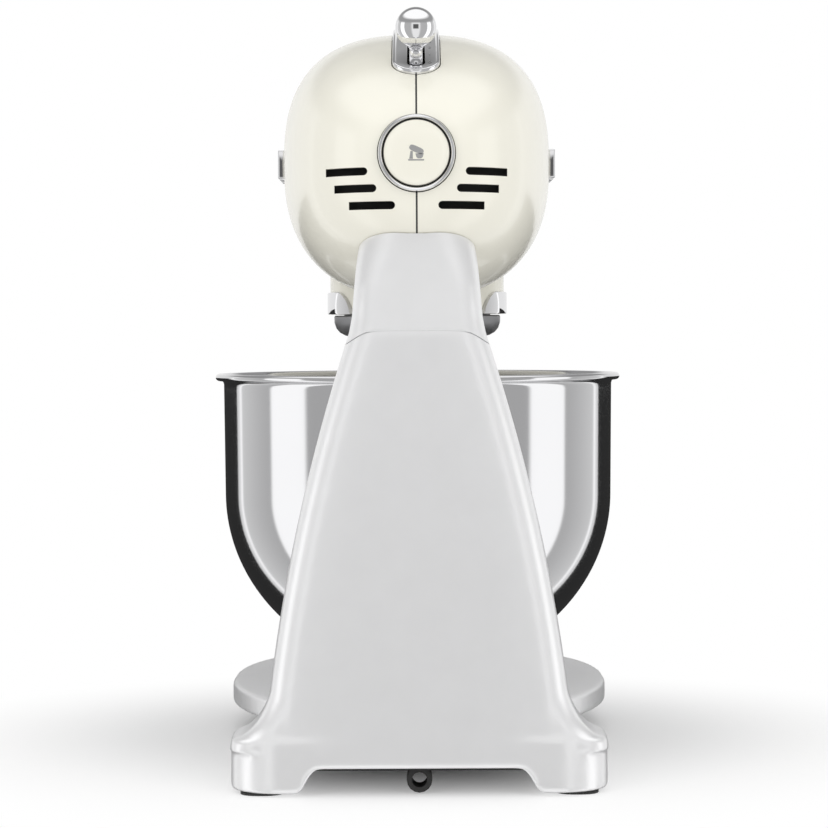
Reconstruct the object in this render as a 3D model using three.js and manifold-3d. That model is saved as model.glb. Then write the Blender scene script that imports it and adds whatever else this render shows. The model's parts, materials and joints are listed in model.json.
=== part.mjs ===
// A tilt-head stand mixer in millimetres, +Z up. The nose and the bowl handle point to -Y, the
// column stands at +Y, and the origin is on the floor under the middle of the base.
import * as THREE from "three";
import { mergeVertices } from "three/addons/utils/BufferGeometryUtils.js";
import Module from "manifold-3d";

const wasm = await Module();
wasm.setup();

// ---------------------------------------------------------------- driving dimensions
const GAP = 0.3;                   // air between two pieces that are fastened together
const RUNNING = 0.5;               // air around a piece that moves

const HEAD = {
  apexY: 48, midZ: 300, halfWidth: 67.8, up: 68, down: 67,
  rearLength: 136, frontLength: 228, upperPower: 2.65, lowerPower: 2.4, wall: 3,
};
const HEAD_REAR_TOP_POWER = 2.0;
const HEAD_REAR_LOW_POWER = 2.4;
const HEAD_FRONT_POWER = 2.7;

const PIVOT = { y: 170, z: 224, knuckle: 13.6, seat: 14.1 };
const SEAM = { rearY: 182, z: 217.6, slope: 0.2, gap: 0.7 };

const BASE = { rearY: 201, footWidth: 88.8, footTop: 26, footFloor: 1.5, footCorner: 23 };
const PLATFORM = { midY: -56, halfWidth: 102, front: 145, rear: 154, top: 26, under: 15 };
const COLUMN = { frontY: 72, lean: 0.0872, flareWidth: 16.4, flareTop: 54, rearCorner: 11, wall: 4.5 };
const NECK = { topZ: 262, seamHalfWidth: 31.4 };

const AXIS_Y = -46;                // the bowl and the planetary drive turn about this line
const HUB = { outer: 47.5, inner: 44.3, low: 225.5 };
const BOWL = { radius: 105.3, rim: 110.5, rimZ: 191.5, bottomZ: 31.5, shoulderZ: 128, wall: 1.5 };

const LEVER = { midY: 53, midZ: 157.5, trackTop: 213, trackFloor: 208.2, rearDeg: 27.1, frontDeg: -4 };
const BUTTON = { z: 300.4, radius: 15.6, ring: 18.2 };
const OUTLET_Z = 300;
const MOTOR_Y = 66;

const RING_TEETH = 48;
const PLANET_TEETH = 16;
const TOOTH_MODULE = 1.58;
const ORBIT = TOOTH_MODULE * (RING_TEETH - PLANET_TEETH) / 2;
const BEVEL_TEETH = 16;

// ---------------------------------------------------------------- materials
function finish(colour, roughness, metalness) {
  return new THREE.MeshStandardMaterial({ color: colour, roughness, metalness });
}
const enamel = finish(0xf3f1e4, 0.18, 0.0);
const satin = finish(0xc9cacb, 0.42, 0.9);
const chrome = finish(0xe4e5e7, 0.08, 1.0);
const polished = finish(0xd2d3d5, 0.1, 1.0);
const steel = finish(0x9b9da0, 0.35, 1.0);
const grey = finish(0x77797b, 0.4, 0.8);
const black = finish(0x1c1c1d, 0.6, 0.0);
const rubber = finish(0x2a2a2b, 0.85, 0.0);
const copper = finish(0xa8683c, 0.4, 0.9);
const board = finish(0x1f5a3c, 0.6, 0.0);
const nylon = finish(0xe6e2d6, 0.5, 0.0);

// ---------------------------------------------------------------- solids
function signedVolume(position, index) {
  let total = 0;
  const a = new THREE.Vector3();
  const b = new THREE.Vector3();
  const c = new THREE.Vector3();
  for (let i = 0; i < index.length; i += 3) {
    a.fromBufferAttribute(position, index[i]);
    b.fromBufferAttribute(position, index[i + 1]);
    c.fromBufferAttribute(position, index[i + 2]);
    total += a.dot(b.cross(c));
  }
  return total;
}

function solidOf(geometry) {
  const bare = geometry.clone();
  bare.deleteAttribute("normal");
  bare.deleteAttribute("uv");
  const merged = mergeVertices(bare, 1e-4);
  const index = merged.index.array;
  const corners = [];
  for (let i = 0; i < index.length; i += 3) {
    const [a, b, c] = index.slice(i, i + 3);
    if (a !== b && b !== c && c !== a) corners.push(a, b, c);
  }
  if (signedVolume(merged.attributes.position, corners) < 0) corners.reverse();
  return new wasm.Manifold(new wasm.Mesh({
    numProp: 3,
    vertProperties: new Float32Array(merged.attributes.position.array),
    triVerts: new Uint32Array(corners),
  }));
}

function geometryOf(solid) {
  const mesh = solid.getMesh();
  const geometry = new THREE.BufferGeometry();
  geometry.setAttribute("position", new THREE.BufferAttribute(mesh.vertProperties, 3));
  geometry.setIndex(new THREE.BufferAttribute(mesh.triVerts, 1));
  return geometry;
}

const joined = (first, ...others) => others.reduce((sum, other) => sum.add(other), first);
const without = (first, ...others) => others.reduce((rest, other) => rest.subtract(other), first);
const common = (first, ...others) => others.reduce((part, other) => part.intersect(other), first);

function box(low, high) {
  const size = high.map((value, i) => value - low[i]);
  const geometry = new THREE.BoxGeometry(...size);
  geometry.translate(...low.map((value, i) => value + size[i] / 2));
  return solidOf(geometry);
}

// Enough facets for a round piece of this radius.
function facets(radius) {
  if (radius < 5) return 12;
  if (radius < 14) return 16;
  return radius < 40 ? 24 : 32;
}

// A round bar along one axis, from one place on it to another; centre gives the other two places.
function bar(axis, radius, from, to, centre, sides = facets(radius)) {
  const geometry = new THREE.CylinderGeometry(radius, radius, to - from, sides);
  const middle = (from + to) / 2;
  if (axis === "x") {
    geometry.rotateZ(Math.PI / 2);
    geometry.translate(middle, centre[0], centre[1]);
  } else if (axis === "y") {
    geometry.translate(centre[0], middle, centre[1]);
  } else {
    geometry.rotateX(Math.PI / 2);
    geometry.translate(centre[0], centre[1], middle);
  }
  return solidOf(geometry);
}

function tube(axis, inner, outer, from, to, centre, sides = facets(outer)) {
  return without(
    bar(axis, outer, from, to, centre, sides),
    bar(axis, inner, from - 1, to + 1, centre, sides),
  );
}

// A profile of [radius, height] turned about the vertical line through (0, y).
function turned(profile, y = AXIS_Y, sides = 28) {
  const points = profile.map(([radius, height]) => new THREE.Vector2(radius, height));
  const geometry = new THREE.LatheGeometry(points, sides);
  geometry.rotateX(Math.PI / 2);
  geometry.translate(0, y, 0);
  return solidOf(geometry);
}

// A profile of [radius, y] turned about a line along Y at height z.
function turnedAlongY(profile, z, sides = 24) {
  const points = profile.map(([radius, place]) => new THREE.Vector2(radius, place));
  const geometry = new THREE.LatheGeometry(points, sides);
  geometry.translate(0, 0, z);
  return solidOf(geometry);
}

function shapeFrom(points, holes = []) {
  const shape = new THREE.Shape(points.map(([u, v]) => new THREE.Vector2(u, v)));
  shape.holes = holes.map((hole) => new THREE.Path(hole.map(([u, v]) => new THREE.Vector2(u, v))));
  return shape;
}

// An outline in X and Y, raised from one height to another.
function slab(points, low, high, holes = []) {
  const geometry = new THREE.ExtrudeGeometry(shapeFrom(points, holes), {
    depth: high - low, bevelEnabled: false,
  });
  geometry.translate(0, 0, low);
  return solidOf(geometry);
}

// An outline in Y and Z, spread from one X to another.
function crosswise(points, low, high) {
  const geometry = new THREE.ExtrudeGeometry(shapeFrom(points), { depth: high - low, bevelEnabled: false });
  const turn = new THREE.Matrix4().makeBasis(
    new THREE.Vector3(0, 1, 0), new THREE.Vector3(0, 0, 1), new THREE.Vector3(1, 0, 0),
  );
  geometry.applyMatrix4(turn);
  geometry.translate(low, 0, 0);
  return solidOf(geometry);
}

// A closed skin over rings of points, with a flat or pointed cap at each end.
function loft(rings) {
  const count = rings[0].length;
  const places = rings.flat(2);
  const index = [];
  for (let r = 0; r + 1 < rings.length; r += 1) {
    for (let i = 0; i < count; i += 1) {
      const next = (i + 1) % count;
      const [a, b, c, d] = [r * count + i, r * count + next, (r + 1) * count + i, (r + 1) * count + next];
      index.push(a, b, d, a, d, c);
    }
  }
  [rings[0], rings.at(-1)].forEach((ring, end) => {
    const middle = [0, 1, 2].map((k) => ring.reduce((sum, point) => sum + point[k], 0) / count);
    const hub = places.length / 3;
    places.push(...middle);
    const start = end === 0 ? 0 : (rings.length - 1) * count;
    for (let i = 0; i < count; i += 1) {
      const pair = [start + i, start + (i + 1) % count];
      if (end === 0) pair.reverse();
      index.push(hub, ...pair);
    }
  });
  const geometry = new THREE.BufferGeometry();
  geometry.setAttribute("position", new THREE.Float32BufferAttribute(places, 3));
  geometry.setIndex(index);
  return solidOf(geometry);
}

const degrees = (value) => value * Math.PI / 180;
const steps = (from, to, count) =>
  Array.from({ length: count + 1 }, (_, i) => from + (to - from) * i / count);
const arc = (y, z, radius, fromDeg, toDeg, count) => steps(degrees(fromDeg), degrees(toDeg), count)
  .map((angle) => [y + radius * Math.cos(angle), z + radius * Math.sin(angle)]);

// A rectangle with rounded corners, from yLow to yHigh and the same on both sides of x = 0.
function roundedRect(halfWidth, yLow, yHigh, lowCorner, highCorner, count = 4) {
  return [
    ...arc(halfWidth - lowCorner, yLow + lowCorner, lowCorner, -90, 0, count),
    ...arc(halfWidth - highCorner, yHigh - highCorner, highCorner, 0, 90, count),
    ...arc(highCorner - halfWidth, yHigh - highCorner, highCorner, 90, 180, count),
    ...arc(lowCorner - halfWidth, yLow + lowCorner, lowCorner, 180, 270, count),
  ];
}

// ---------------------------------------------------------------- the object as named meshes
const mixer = new THREE.Group();

function add(name, solid, material) {
  const mesh = new THREE.Mesh(geometryOf(solid), material);
  mesh.name = name;
  mixer.add(mesh);
}

// ---------------------------------------------------------------- head outline
const power = (value, exponent) => Math.sign(value) * Math.abs(value) ** exponent;

// The head is a long rounded body: each ring is a section at one place along Y. Its upper and
// lower halves close towards the ends by their own powers.
function headBody(inset, ringCount = 16, sides = 24) {
  const rings = steps(0, Math.PI, ringCount).map((along) => {
    const c = Math.cos(along);
    const rear = c > 0;
    const length = (rear ? HEAD.rearLength : HEAD.frontLength) - inset;
    const base = rear ? HEAD_REAR_LOW_POWER : HEAD_FRONT_POWER;
    const run = Math.abs(c) ** (2 / base);
    const y = HEAD.apexY + Math.sign(c) * length * run;
    const closing = (exponent) => Math.max(0.002, (1 - run ** exponent)) ** (1 / exponent);
    const low = closing(base);
    const top = closing(rear ? HEAD_REAR_TOP_POWER : HEAD_FRONT_POWER);
    return steps(0, 2 * Math.PI * (sides - 1) / sides, sides - 1).map((angle) => {
      const upper = Math.sin(angle) >= 0;
      const exponent = 2 / (upper ? HEAD.upperPower : HEAD.lowerPower);
      const height = upper ? (HEAD.up - inset) * top : (HEAD.down - inset) * low;
      const x = (HEAD.halfWidth - inset) * low * power(Math.cos(angle), exponent);
      return [x, y, HEAD.midZ + height * power(Math.sin(angle), exponent)];
    });
  });
  return loft(rings);
}

const headOuter = headBody(0);
const headClearance = headBody(-GAP);
const headWideClearance = headBody(-1.2);
const headRoom = headBody(HEAD.wall + GAP);

// ---------------------------------------------------------------- column and neck outline
function columnHalfWidth(z) {
  const below = 219 - z;
  if (below >= 0) return NECK.seamHalfWidth + 0.332 * below - 0.00062 * below * below;
  const up = (z - 219) / (NECK.topZ - 219);
  return NECK.seamHalfWidth - 3.1 * up - 1.5 * up ** 6;
}

function columnRearY(z) {
  const straight = BASE.rearY - COLUMN.lean * z;
  return z > SEAM.z ? SEAM.rearY - 0.27 * (z - SEAM.z) : straight;
}

function flare(z) {
  const height = COLUMN.flareTop - BASE.footTop;
  const part = Math.min(1, Math.max(0, (COLUMN.flareTop - z) / height));
  return COLUMN.flareWidth * (1 - Math.sqrt(1 - part * part));
}

function columnRing(z, inset) {
  const outline = roundedRect(
    columnHalfWidth(z) - inset, COLUMN.frontY + inset, columnRearY(z) - inset,
    14, COLUMN.rearCorner - inset / 2, 3,
  );
  return outline.map(([x, y]) => [x, y, z]);
}

const columnHeights = [20, 50, 85, 120, 160, 195, SEAM.z, 236, 252, 259, NECK.topZ];
const columnBody = loft(columnHeights.map((z) => columnRing(z, 0)));

// Everything above the seam between column and neck, seen from the side.
function aboveSeam(lift) {
  const at = (y) => SEAM.z + SEAM.slope * (SEAM.rearY - y) + lift;
  return crosswise([[40, at(40)], [215, at(215)], [215, 320], [40, 320]], -60, 60);
}

// ---------------------------------------------------------------- base casting
function superOutline(midY, halfWidth, front, rear, frontPower, rearPower, count = 32) {
  return steps(0, 2 * Math.PI * (count - 1) / count, count - 1).map((angle) => {
    const forward = Math.sin(angle) < 0;
    const exponent = 2 / (forward ? frontPower : rearPower);
    const length = forward ? front : rear;
    return [halfWidth * power(Math.cos(angle), exponent), midY + length * power(Math.sin(angle), exponent)];
  });
}

const platformOutline = (inset) => superOutline(
  PLATFORM.midY, PLATFORM.halfWidth - inset, PLATFORM.front - inset, PLATFORM.rear - inset, 2.4, 2.0,
);

function footFlare() {
  const heights = [20, BASE.footTop, 28, 31, 36, 43, COLUMN.flareTop];
  return loft(heights.map((z) => roundedRect(
    columnHalfWidth(z) + flare(Math.max(z, BASE.footTop)) - 0.4, 150, columnRearY(z) - 0.4,
    10, COLUMN.rearCorner + 4,
  ).map(([x, y]) => [x, y, z])));
}

// Two ears stand up out of the column into slots of the neck and hold the hinge pin.
const EAR = { from: 15, to: 22, radius: 8.5, stemFront: -9, stemRear: 2 };

function ear(side) {
  const [from, to] = [side * EAR.from, side * EAR.to].sort((a, b) => a - b);
  const head = bar("x", EAR.radius, from, to, [PIVOT.y, PIVOT.z]);
  const stem = box([from, PIVOT.y + EAR.stemFront, 190], [to, PIVOT.y + EAR.stemRear, PIVOT.z]);
  return joined(head, stem);
}

function earSlot(side) {
  const [from, to] = [side * (EAR.from - RUNNING), side * (EAR.to + RUNNING)].sort((a, b) => a - b);
  const around = bar("x", EAR.radius + 0.9, from, to, [PIVOT.y, PIVOT.z]);
  const sweep = crosswise([
    [PIVOT.y + EAR.stemFront - 0.5, PIVOT.z], [PIVOT.y + EAR.stemFront - 0.5, PIVOT.z - 17],
    [PIVOT.y + 10.6, PIVOT.z - 12.9], [PIVOT.y + 2.6, PIVOT.z + 1.4],
  ], from, to);
  return joined(around, sweep);
}

function baseCasting() {
  const platform = slab(platformOutline(0), PLATFORM.under, PLATFORM.top);
  const waist = slab(roundedRect(76, 30, 172, 10, 6), PLATFORM.under, PLATFORM.top);
  const rearFoot = slab(
    roundedRect(BASE.footWidth, 140, BASE.rearY, 16, BASE.footCorner, 6), BASE.footFloor, BASE.footTop,
  );
  const block = joined(platform, waist, rearFoot, footFlare(), without(columnBody, aboveSeam(-SEAM.gap)));
  const hollow = loft([10, 50, 85, 120, 160, 198].map((z) => columnRing(z, COLUMN.wall)));
  const underside = slab(roundedRect(58, 90, BASE.rearY - 8, 6, 8), 0, 13);
  const frontRecess = slab(roundedRect(60, 60, 110, 6, 6), 0, PLATFORM.under + 4);
  const archCut = box([-50, 180, -1], [50, 210, 13]);
  const hookWell = box([-10, 116, 190], [10, 152, 260]);
  const pocket = bar("x", PIVOT.seat, -60, 60, [PIVOT.y, PIVOT.z]);
  const shell = without(block, hollow, underside, frontRecess, archCut, hookWell, pocket, headWideClearance);
  const bore = bar("x", 4.25, -40, 40, [PIVOT.y, PIVOT.z]);
  return without(joined(shell, ear(1), ear(-1)), bore);
}
add("base_casting", baseCasting(), satin);

add("base_plate", without(
  slab(platformOutline(13), 4, PLATFORM.under - GAP),
  box([-120, 58, -1], [120, 200, 40]),
), black);

[["left", 1], ["right", -1]].forEach(([side, sign]) => {
  const rearPad = roundedRect(10, 160, 194, 8, 8).map(([x, y]) => [x + sign * 74, y]);
  add(`rear_foot_${side}`, slab(rearPad, 0, BASE.footFloor - GAP), rubber);
  add(`front_foot_${side}`, bar("z", 11, 0, 3.7, [sign * 52, -128]), rubber);
  add(`plate_screw_${side}`, bar("z", 3.2, 2.6, 3.7, [sign * 60, -20]), steel);
});

add("cord_gland", tube("y", 3.6, 6, 174, 190, [0, 6.6]), rubber);
add("hinge_pin", bar("x", 4, -27.5, 27.5, [PIVOT.y, PIVOT.z]), steel);
add("latch_striker", bar("x", 3, -9.7, 9.7, [122, 222]), steel);

// ---------------------------------------------------------------- bowl seat and bowl
const SEAT = { inner: 56.5, outer: 66, lip: 51.5, top: 35, lipLow: 32.6 };
const BOWL_SIDES = 36;
const LUG_DEG = 30;
const LIP_DEG = 44;

function wedge(startDeg, widthDeg, radius, low, high) {
  const rim = steps(degrees(startDeg), degrees(startDeg + widthDeg), 6)
    .map((angle) => [radius * Math.cos(angle), AXIS_Y + radius * Math.sin(angle)]);
  return slab([[0, AXIS_Y], ...rim], low, high);
}

function bowlSeat() {
  const ring = tube("z", SEAT.inner, SEAT.outer, PLATFORM.top + GAP, SEAT.top, [0, AXIS_Y]);
  const lips = [30, 150, 270].map((at) => common(
    tube("z", SEAT.lip, SEAT.inner + 1, SEAT.lipLow, SEAT.top, [0, AXIS_Y]),
    wedge(at - LIP_DEG / 2, LIP_DEG, 80, 30, 40),
  ));
  return joined(ring, ...lips);
}
add("bowl_seat", bowlSeat(), satin);

// Half width of the bowl's outside at a height.
function bowlRadius(z, inset) {
  const deep = (BOWL.shoulderZ - z) / (BOWL.shoulderZ - BOWL.bottomZ + 0.6);
  const round = deep > 0 ? Math.sqrt(Math.max(0, 1 - deep * deep)) : 1;
  const spread = z > BOWL.shoulderZ ? (z - BOWL.shoulderZ) * 0.011 : 0;
  return (BOWL.radius - inset) * round + spread;
}

function bowlProfile(inset, floorZ, topZ) {
  const heights = [floorZ, 35, 40, 48, 60, 76, 98, BOWL.shoulderZ, topZ];
  return heights.filter((z) => z >= floorZ).map((z) => [bowlRadius(z - inset * 0.4, inset), z]);
}

function bowl() {
  const outside = bowlProfile(0, BOWL.bottomZ, BOWL.rimZ - 2);
  const inside = bowlProfile(BOWL.wall, BOWL.bottomZ + BOWL.wall, BOWL.rimZ).slice(1).reverse();
  const rim = arc(BOWL.rim - 1.9, BOWL.rimZ, 1.9, -110, 100, 4);
  return turned([
    [0, BOWL.bottomZ], ...outside, ...rim, ...inside, [0, BOWL.bottomZ + BOWL.wall],
  ], AXIS_Y, BOWL_SIDES);
}
add("bowl", bowl(), polished);

function bowlBulk(grow) {
  return turned([
    [0, BOWL.bottomZ - grow], ...bowlProfile(-grow, BOWL.bottomZ - grow, 150), [0, 150],
  ], AXIS_Y, BOWL_SIDES);
}

function bowlFoot() {
  const skirt = tube("z", 47.5, 49.8, 29.5, 46, [0, AXIS_Y]);
  const floorRing = tube("z", 44, 49.8, 27, 30, [0, AXIS_Y]);
  const lugs = [30, 150, 270].map((at) => common(
    tube("z", 49, 55.6, 28, 31.8, [0, AXIS_Y]),
    wedge(at - LUG_DEG / 2, LUG_DEG, 80, 26, 34),
  ));
  return without(joined(skirt, floorRing, ...lugs), bowlBulk(GAP));
}
add("bowl_foot", bowlFoot(), polished);

// The handle is a flat loop of steel that stands out from the front of the bowl.
function bowlHandle() {
  const reach = AXIS_Y - BOWL.radius;
  const loopOutline = [
    [reach + 4, 178], [reach - 22, 178], ...arc(reach - 30, 164, 14, 90, 180, 4),
    [reach - 44, 128], ...arc(reach - 34, 116, 10, 180, 260, 4), [reach + 4, 96],
  ];
  const windowOutline = [
    [reach + 5, 172], [reach - 22, 172], ...arc(reach - 29, 162.5, 9, 90, 180, 4),
    [reach - 38, 128], ...arc(reach - 32, 119, 6, 180, 250, 4), [reach + 5, 103],
  ];
  const band = without(crosswise(loopOutline, -11, 11), crosswise(windowOutline, -12, 12));
  return without(band, turned([
    [0, 80], [BOWL.radius + 0.9, 80], [BOWL.radius + 1.1, 190], [0, 190],
  ], AXIS_Y, BOWL_SIDES));
}
add("bowl_handle", bowlHandle(), polished);

// ---------------------------------------------------------------- head shells and neck
const TRACK = { halfWidth: 11.55, slot: 4.2 };

// A band that follows the top of the head round the lever's centre.
function trackBand(low, high, rearDeg, frontDeg, halfWidth) {
  const outer = arc(LEVER.midY, LEVER.midZ, high, 90 - rearDeg, 90 - frontDeg, 14);
  const inner = arc(LEVER.midY, LEVER.midZ, low, 90 - frontDeg, 90 - rearDeg, 14);
  return crosswise([...outer, ...inner], -halfWidth, halfWidth);
}

// The plan of the track: straight sides with a round end at the rear and at the front.
function trackPlan(halfWidth) {
  const rearY = LEVER.midY + LEVER.trackTop * Math.sin(degrees(LEVER.rearDeg));
  const frontY = LEVER.midY + LEVER.trackTop * Math.sin(degrees(LEVER.frontDeg));
  const squash = 0.88;
  const rear = steps(0, Math.PI, 10)
    .map((a) => [halfWidth * Math.cos(a), rearY + halfWidth * squash * Math.sin(a)]);
  const front = steps(Math.PI, 2 * Math.PI, 10)
    .map((a) => [halfWidth * Math.cos(a), frontY + halfWidth * Math.sin(a)]);
  return slab([...rear, ...front], 320, 390);
}

function speedTrack(grow) {
  const top = LEVER.trackTop + (grow > 0 ? 8 : 0);
  const band = trackBand(LEVER.trackFloor - 10 * grow, top, 34, -9, 20);
  return common(band, trackPlan(TRACK.halfWidth + grow));
}
add("speed_track", without(speedTrack(0), trackPlan(TRACK.slot)), chrome);

const VENTS = [[292, 23.2, 43.3], [284, 19, 39.2], [276, 10.2, 32.2]];

function ventCuts() {
  return VENTS.flatMap(([z, inner, outer]) => [1, -1].map((sign) => {
    const [from, to] = [sign * inner, sign * outer].sort((a, b) => a - b);
    return box([from, 130, z - 1.9], [to, 200, z + 1.9]);
  }));
}

const neckShape = without(
  common(columnBody, joined(
    aboveSeam(0), bar("x", PIVOT.knuckle, -60, 60, [PIVOT.y, PIVOT.z]),
  )),
  headClearance,
);

function neckCasting() {
  const tongue = box([-19.7, 92.3, 225], [19.7, 116, 246]);
  const joinedNeck = joined(neckShape, common(tongue, aboveSeam(0)));
  const cavity = box([-12.5, 119, 190], [12.5, 152, 320]);
  const bore = bar("x", 4.25, -28, 28, [PIVOT.y, PIVOT.z]);
  const bushBores = [1, -1].map((sign) => {
    const [from, to] = [sign * 22.4, sign * 28].sort((a, b) => a - b);
    return bar("x", 6.3, from, to, [PIVOT.y, PIVOT.z]);
  });
  return without(joinedNeck, cavity, bore, ...bushBores, earSlot(1), earSlot(-1));
}
add("neck_casting", neckCasting(), satin);

[["left", 1], ["right", -1]].forEach(([side, sign]) => {
  const [from, to] = [sign * 22.7, sign * 27.7].sort((a, b) => a - b);
  add(`hinge_bush_${side}`, tube("x", 4.3, 6, from, to, [PIVOT.y, PIVOT.z]), nylon);
});

function headShells() {
  const hubWall = bar("z", HUB.outer, HUB.low, 262, [0, AXIS_Y]);
  const hubRoom = bar("z", HUB.inner, HUB.low - 5, 262, [0, AXIS_Y]);
  const shell = without(joined(headOuter, hubWall), headBody(HEAD.wall), hubRoom);
  const openings = [
    box([-20.2, 91.8, 215], [20.2, 152.5, 262]),
    bar("y", 27.6, -200, -150, [0, OUTLET_Z]),
    bar("y", BUTTON.ring + GAP, 150, 200, [0, BUTTON.z]),
    bar("x", 3.6, -80, -20, [-150, OUTLET_Z]),
    speedTrack(GAP),
    ...ventCuts(),
  ];
  return without(shell, ...openings);
}
const shells = headShells();
add("head_shell_left", common(shells, box([GAP / 2, -260, 200], [90, 260, 400])), enamel);
add("head_shell_right", common(shells, box([-90, -260, 200], [-GAP / 2, 260, 400])), enamel);

// ---------------------------------------------------------------- trim on the head
add("button_bezel", turnedAlongY([
  [BUTTON.radius + GAP, 172], [BUTTON.ring, 172], [BUTTON.ring, 184.4], [17.4, 185.6],
  [16.4, 185.6], [BUTTON.radius + GAP, 184.6], [BUTTON.radius + GAP, 172],
], BUTTON.z), chrome);

[["left", 1], ["right", -1]].forEach(([side, sign]) => {
  const [from, to] = [sign * 60, sign * 71.2].sort((a, b) => a - b);
  const bars = [0, 1, 2, 3].map((i) => box([from, 4 + i * 15, 294.5], [to, 15.5 + i * 15, 309.5]));
  const rail = box([from, 4, 300], [to - Math.max(sign, 0), 60.5, 304]);
  add(`side_badge_${side}`, without(joined(rail, ...bars), headClearance), chrome);
});

function hubTrim() {
  const ring = tube("z", HUB.outer + GAP, HUB.outer + 1.6, HUB.low, 237.5, [0, AXIS_Y]);
  const rearCut = crosswise([[-25, 260], [-13, 224], [60, 224], [60, 260]], -80, 80);
  return without(ring, rearCut, headClearance);
}
add("hub_trim", hubTrim(), chrome);

add("nose_ring", turnedAlongY([
  [17, -146], [27.3, -160], [27.3, -172.5], [25.6, -175.5], [21.5, -175.5], [21.5, -166],
  [17, -166], [17, -146],
], OUTLET_Z), chrome);

// ---------------------------------------------------------------- fixed pieces inside the head
const SHAFT = 6;
const FRAME = { halfWidth: 34, wall: 4, rearY: -14, frontY: -78, low: 242.6, top: 328 };

add("gearbox_plate", turned([
  [14, 238], [HUB.inner - 0.4, 238], [HUB.inner - 0.4, 242], [19, 242], [19, 251], [14, 251], [14, 238],
]), grey);
add("lower_bearing", tube("z", SHAFT + GAP, 13.7, 239, 250, [0, AXIS_Y]), steel);

function gearOutline(teeth, pitch, tip, root, phaseDeg, share = 0.42) {
  return Array.from({ length: teeth }, (_, i) => {
    const middle = degrees(phaseDeg) + 2 * Math.PI * i / teeth;
    const half = Math.PI / teeth;
    return [[root, -half * 1.1], [tip, -half * share], [tip, half * share], [root, half * 1.1]]
      .map(([radius, turn]) => [radius, middle + turn * 0.82])
      .map(([radius, angle]) => [radius * Math.cos(angle), radius * Math.sin(angle)]);
  }).flat().map((point) => point.map((value) => value * pitch));
}

const ringPitch = TOOTH_MODULE * RING_TEETH / 2;
const planetPitch = TOOTH_MODULE * PLANET_TEETH / 2;

function ringGear() {
  const teeth = gearOutline(RING_TEETH, ringPitch, 1 + 1.3 / ringPitch, 1 - 1.0 / ringPitch, 0, 0.62);
  const space = slab(teeth.map(([x, y]) => [x, y + AXIS_Y]), 220, 240);
  return without(bar("z", HUB.inner - 0.4, 229, 237.4, [0, AXIS_Y]), space);
}
add("ring_gear", ringGear(), steel);

function gearboxFrame() {
  const { halfWidth, wall, rearY, frontY, low, top } = FRAME;
  const bridge = without(
    box([-halfWidth, frontY, low], [halfWidth, rearY, top]),
    box([wall - halfWidth, frontY - 1, low - 1], [halfWidth - wall, rearY + 1, top - wall]),
    bar("z", 13, top - 10, top + 10, [0, AXIS_Y]),
  );
  return common(bridge, headRoom);
}
add("gearbox_frame", gearboxFrame(), grey);
add("upper_bearing", tube("z", SHAFT + GAP, 12.7, 323.6, 329.6, [0, AXIS_Y]), steel);

add("motor_plate", common(without(
  box([-30, -10, 247.3], [30, 134, 250.7]),
  box([-13, 119, 240], [13, 140, 260]),
  bar("z", 6, 240, 260, [0, MOTOR_Y]),
), headRoom), grey);
add("motor_housing", turned([
  [6, 251], [37, 251], [37, 306], [34.6, 306], [34.6, 254], [6, 254], [6, 251],
], MOTOR_Y), grey);
add("motor_stator", tube("z", 27, 34.3, 256, 304, [0, MOTOR_Y]), copper);

const BELT = { motor: 9, drive: 36, gap: 0.4, thick: 2, low: 331, high: 339 };

// The outline of a belt laid round two pulleys.
function beltOutline(grow) {
  const large = BELT.drive + grow;
  const small = BELT.motor + grow;
  const lean = Math.asin((large - small) / (MOTOR_Y - AXIS_Y));
  const rear = steps(lean, Math.PI - lean, 10)
    .map((a) => [small * Math.cos(a), MOTOR_Y + small * Math.sin(a)]);
  const front = steps(Math.PI - lean, 2 * Math.PI + lean, 26)
    .map((a) => [large * Math.cos(a), AXIS_Y + large * Math.sin(a)]);
  return [...rear, ...front];
}
add("drive_belt", without(
  slab(beltOutline(BELT.gap + BELT.thick), BELT.low, BELT.high),
  slab(beltOutline(BELT.gap), BELT.low - 1, BELT.high + 1),
), rubber);

add("control_board", box([-38, 112, 266], [38, 113.6, 318]), board);
add("vent_screen", common(without(
  box([-46, 152, 268], [46, 154, 308]),
  bar("y", 5, 150, 160, [0, BUTTON.z]),
), headRoom), black);
add("latch_pin", bar("x", 2.6, -11, 11, [138, 258.5]), steel);

// ---------------------------------------------------------------- speed lever
function atLever(radius, deg) {
  const turn = degrees(deg);
  return [LEVER.midY + radius * Math.sin(turn), LEVER.midZ + radius * Math.cos(turn)];
}

function radialBar(radius, from, to, deg, sides) {
  const geometry = new THREE.CylinderGeometry(radius, radius, to - from, sides);
  geometry.rotateX(Math.PI / 2);
  geometry.translate(0, 0, (from + to) / 2);
  geometry.rotateX(-degrees(deg));
  geometry.translate(0, LEVER.midY, LEVER.midZ);
  return solidOf(geometry);
}

const BALL = { radius: 9.8, reach: 17.6 };

function leverBall() {
  const [y, z] = atLever(LEVER.trackTop + BALL.reach, LEVER.rearDeg);
  const geometry = new THREE.SphereGeometry(BALL.radius, 16, 10);
  geometry.translate(0, y, z);
  return without(solidOf(geometry), radialBar(3.6, 215, 226, LEVER.rearDeg, 20));
}
add("lever_ball", leverBall(), chrome);
add("lever_stem", radialBar(3.25, 206.2, 225.6, LEVER.rearDeg, 20), chrome);
add("lever_carriage", trackBand(200, 206, LEVER.rearDeg + 3, LEVER.rearDeg - 3, 7.5), black);

// ---------------------------------------------------------------- release button and latch
add("release_button", turnedAlongY([
  [0, 176.5], [BUTTON.radius, 176.5], [BUTTON.radius, 184.6], [14.4, 185.7], [8, 186.2], [0, 186.4],
], BUTTON.z), enamel);
add("button_rod", bar("y", 3, 150.5, 176.2, [0, BUTTON.z]), nylon);
add("button_spring", tube("y", 4.2, 6.6, 160, 176.2, [0, BUTTON.z]), steel);

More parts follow.
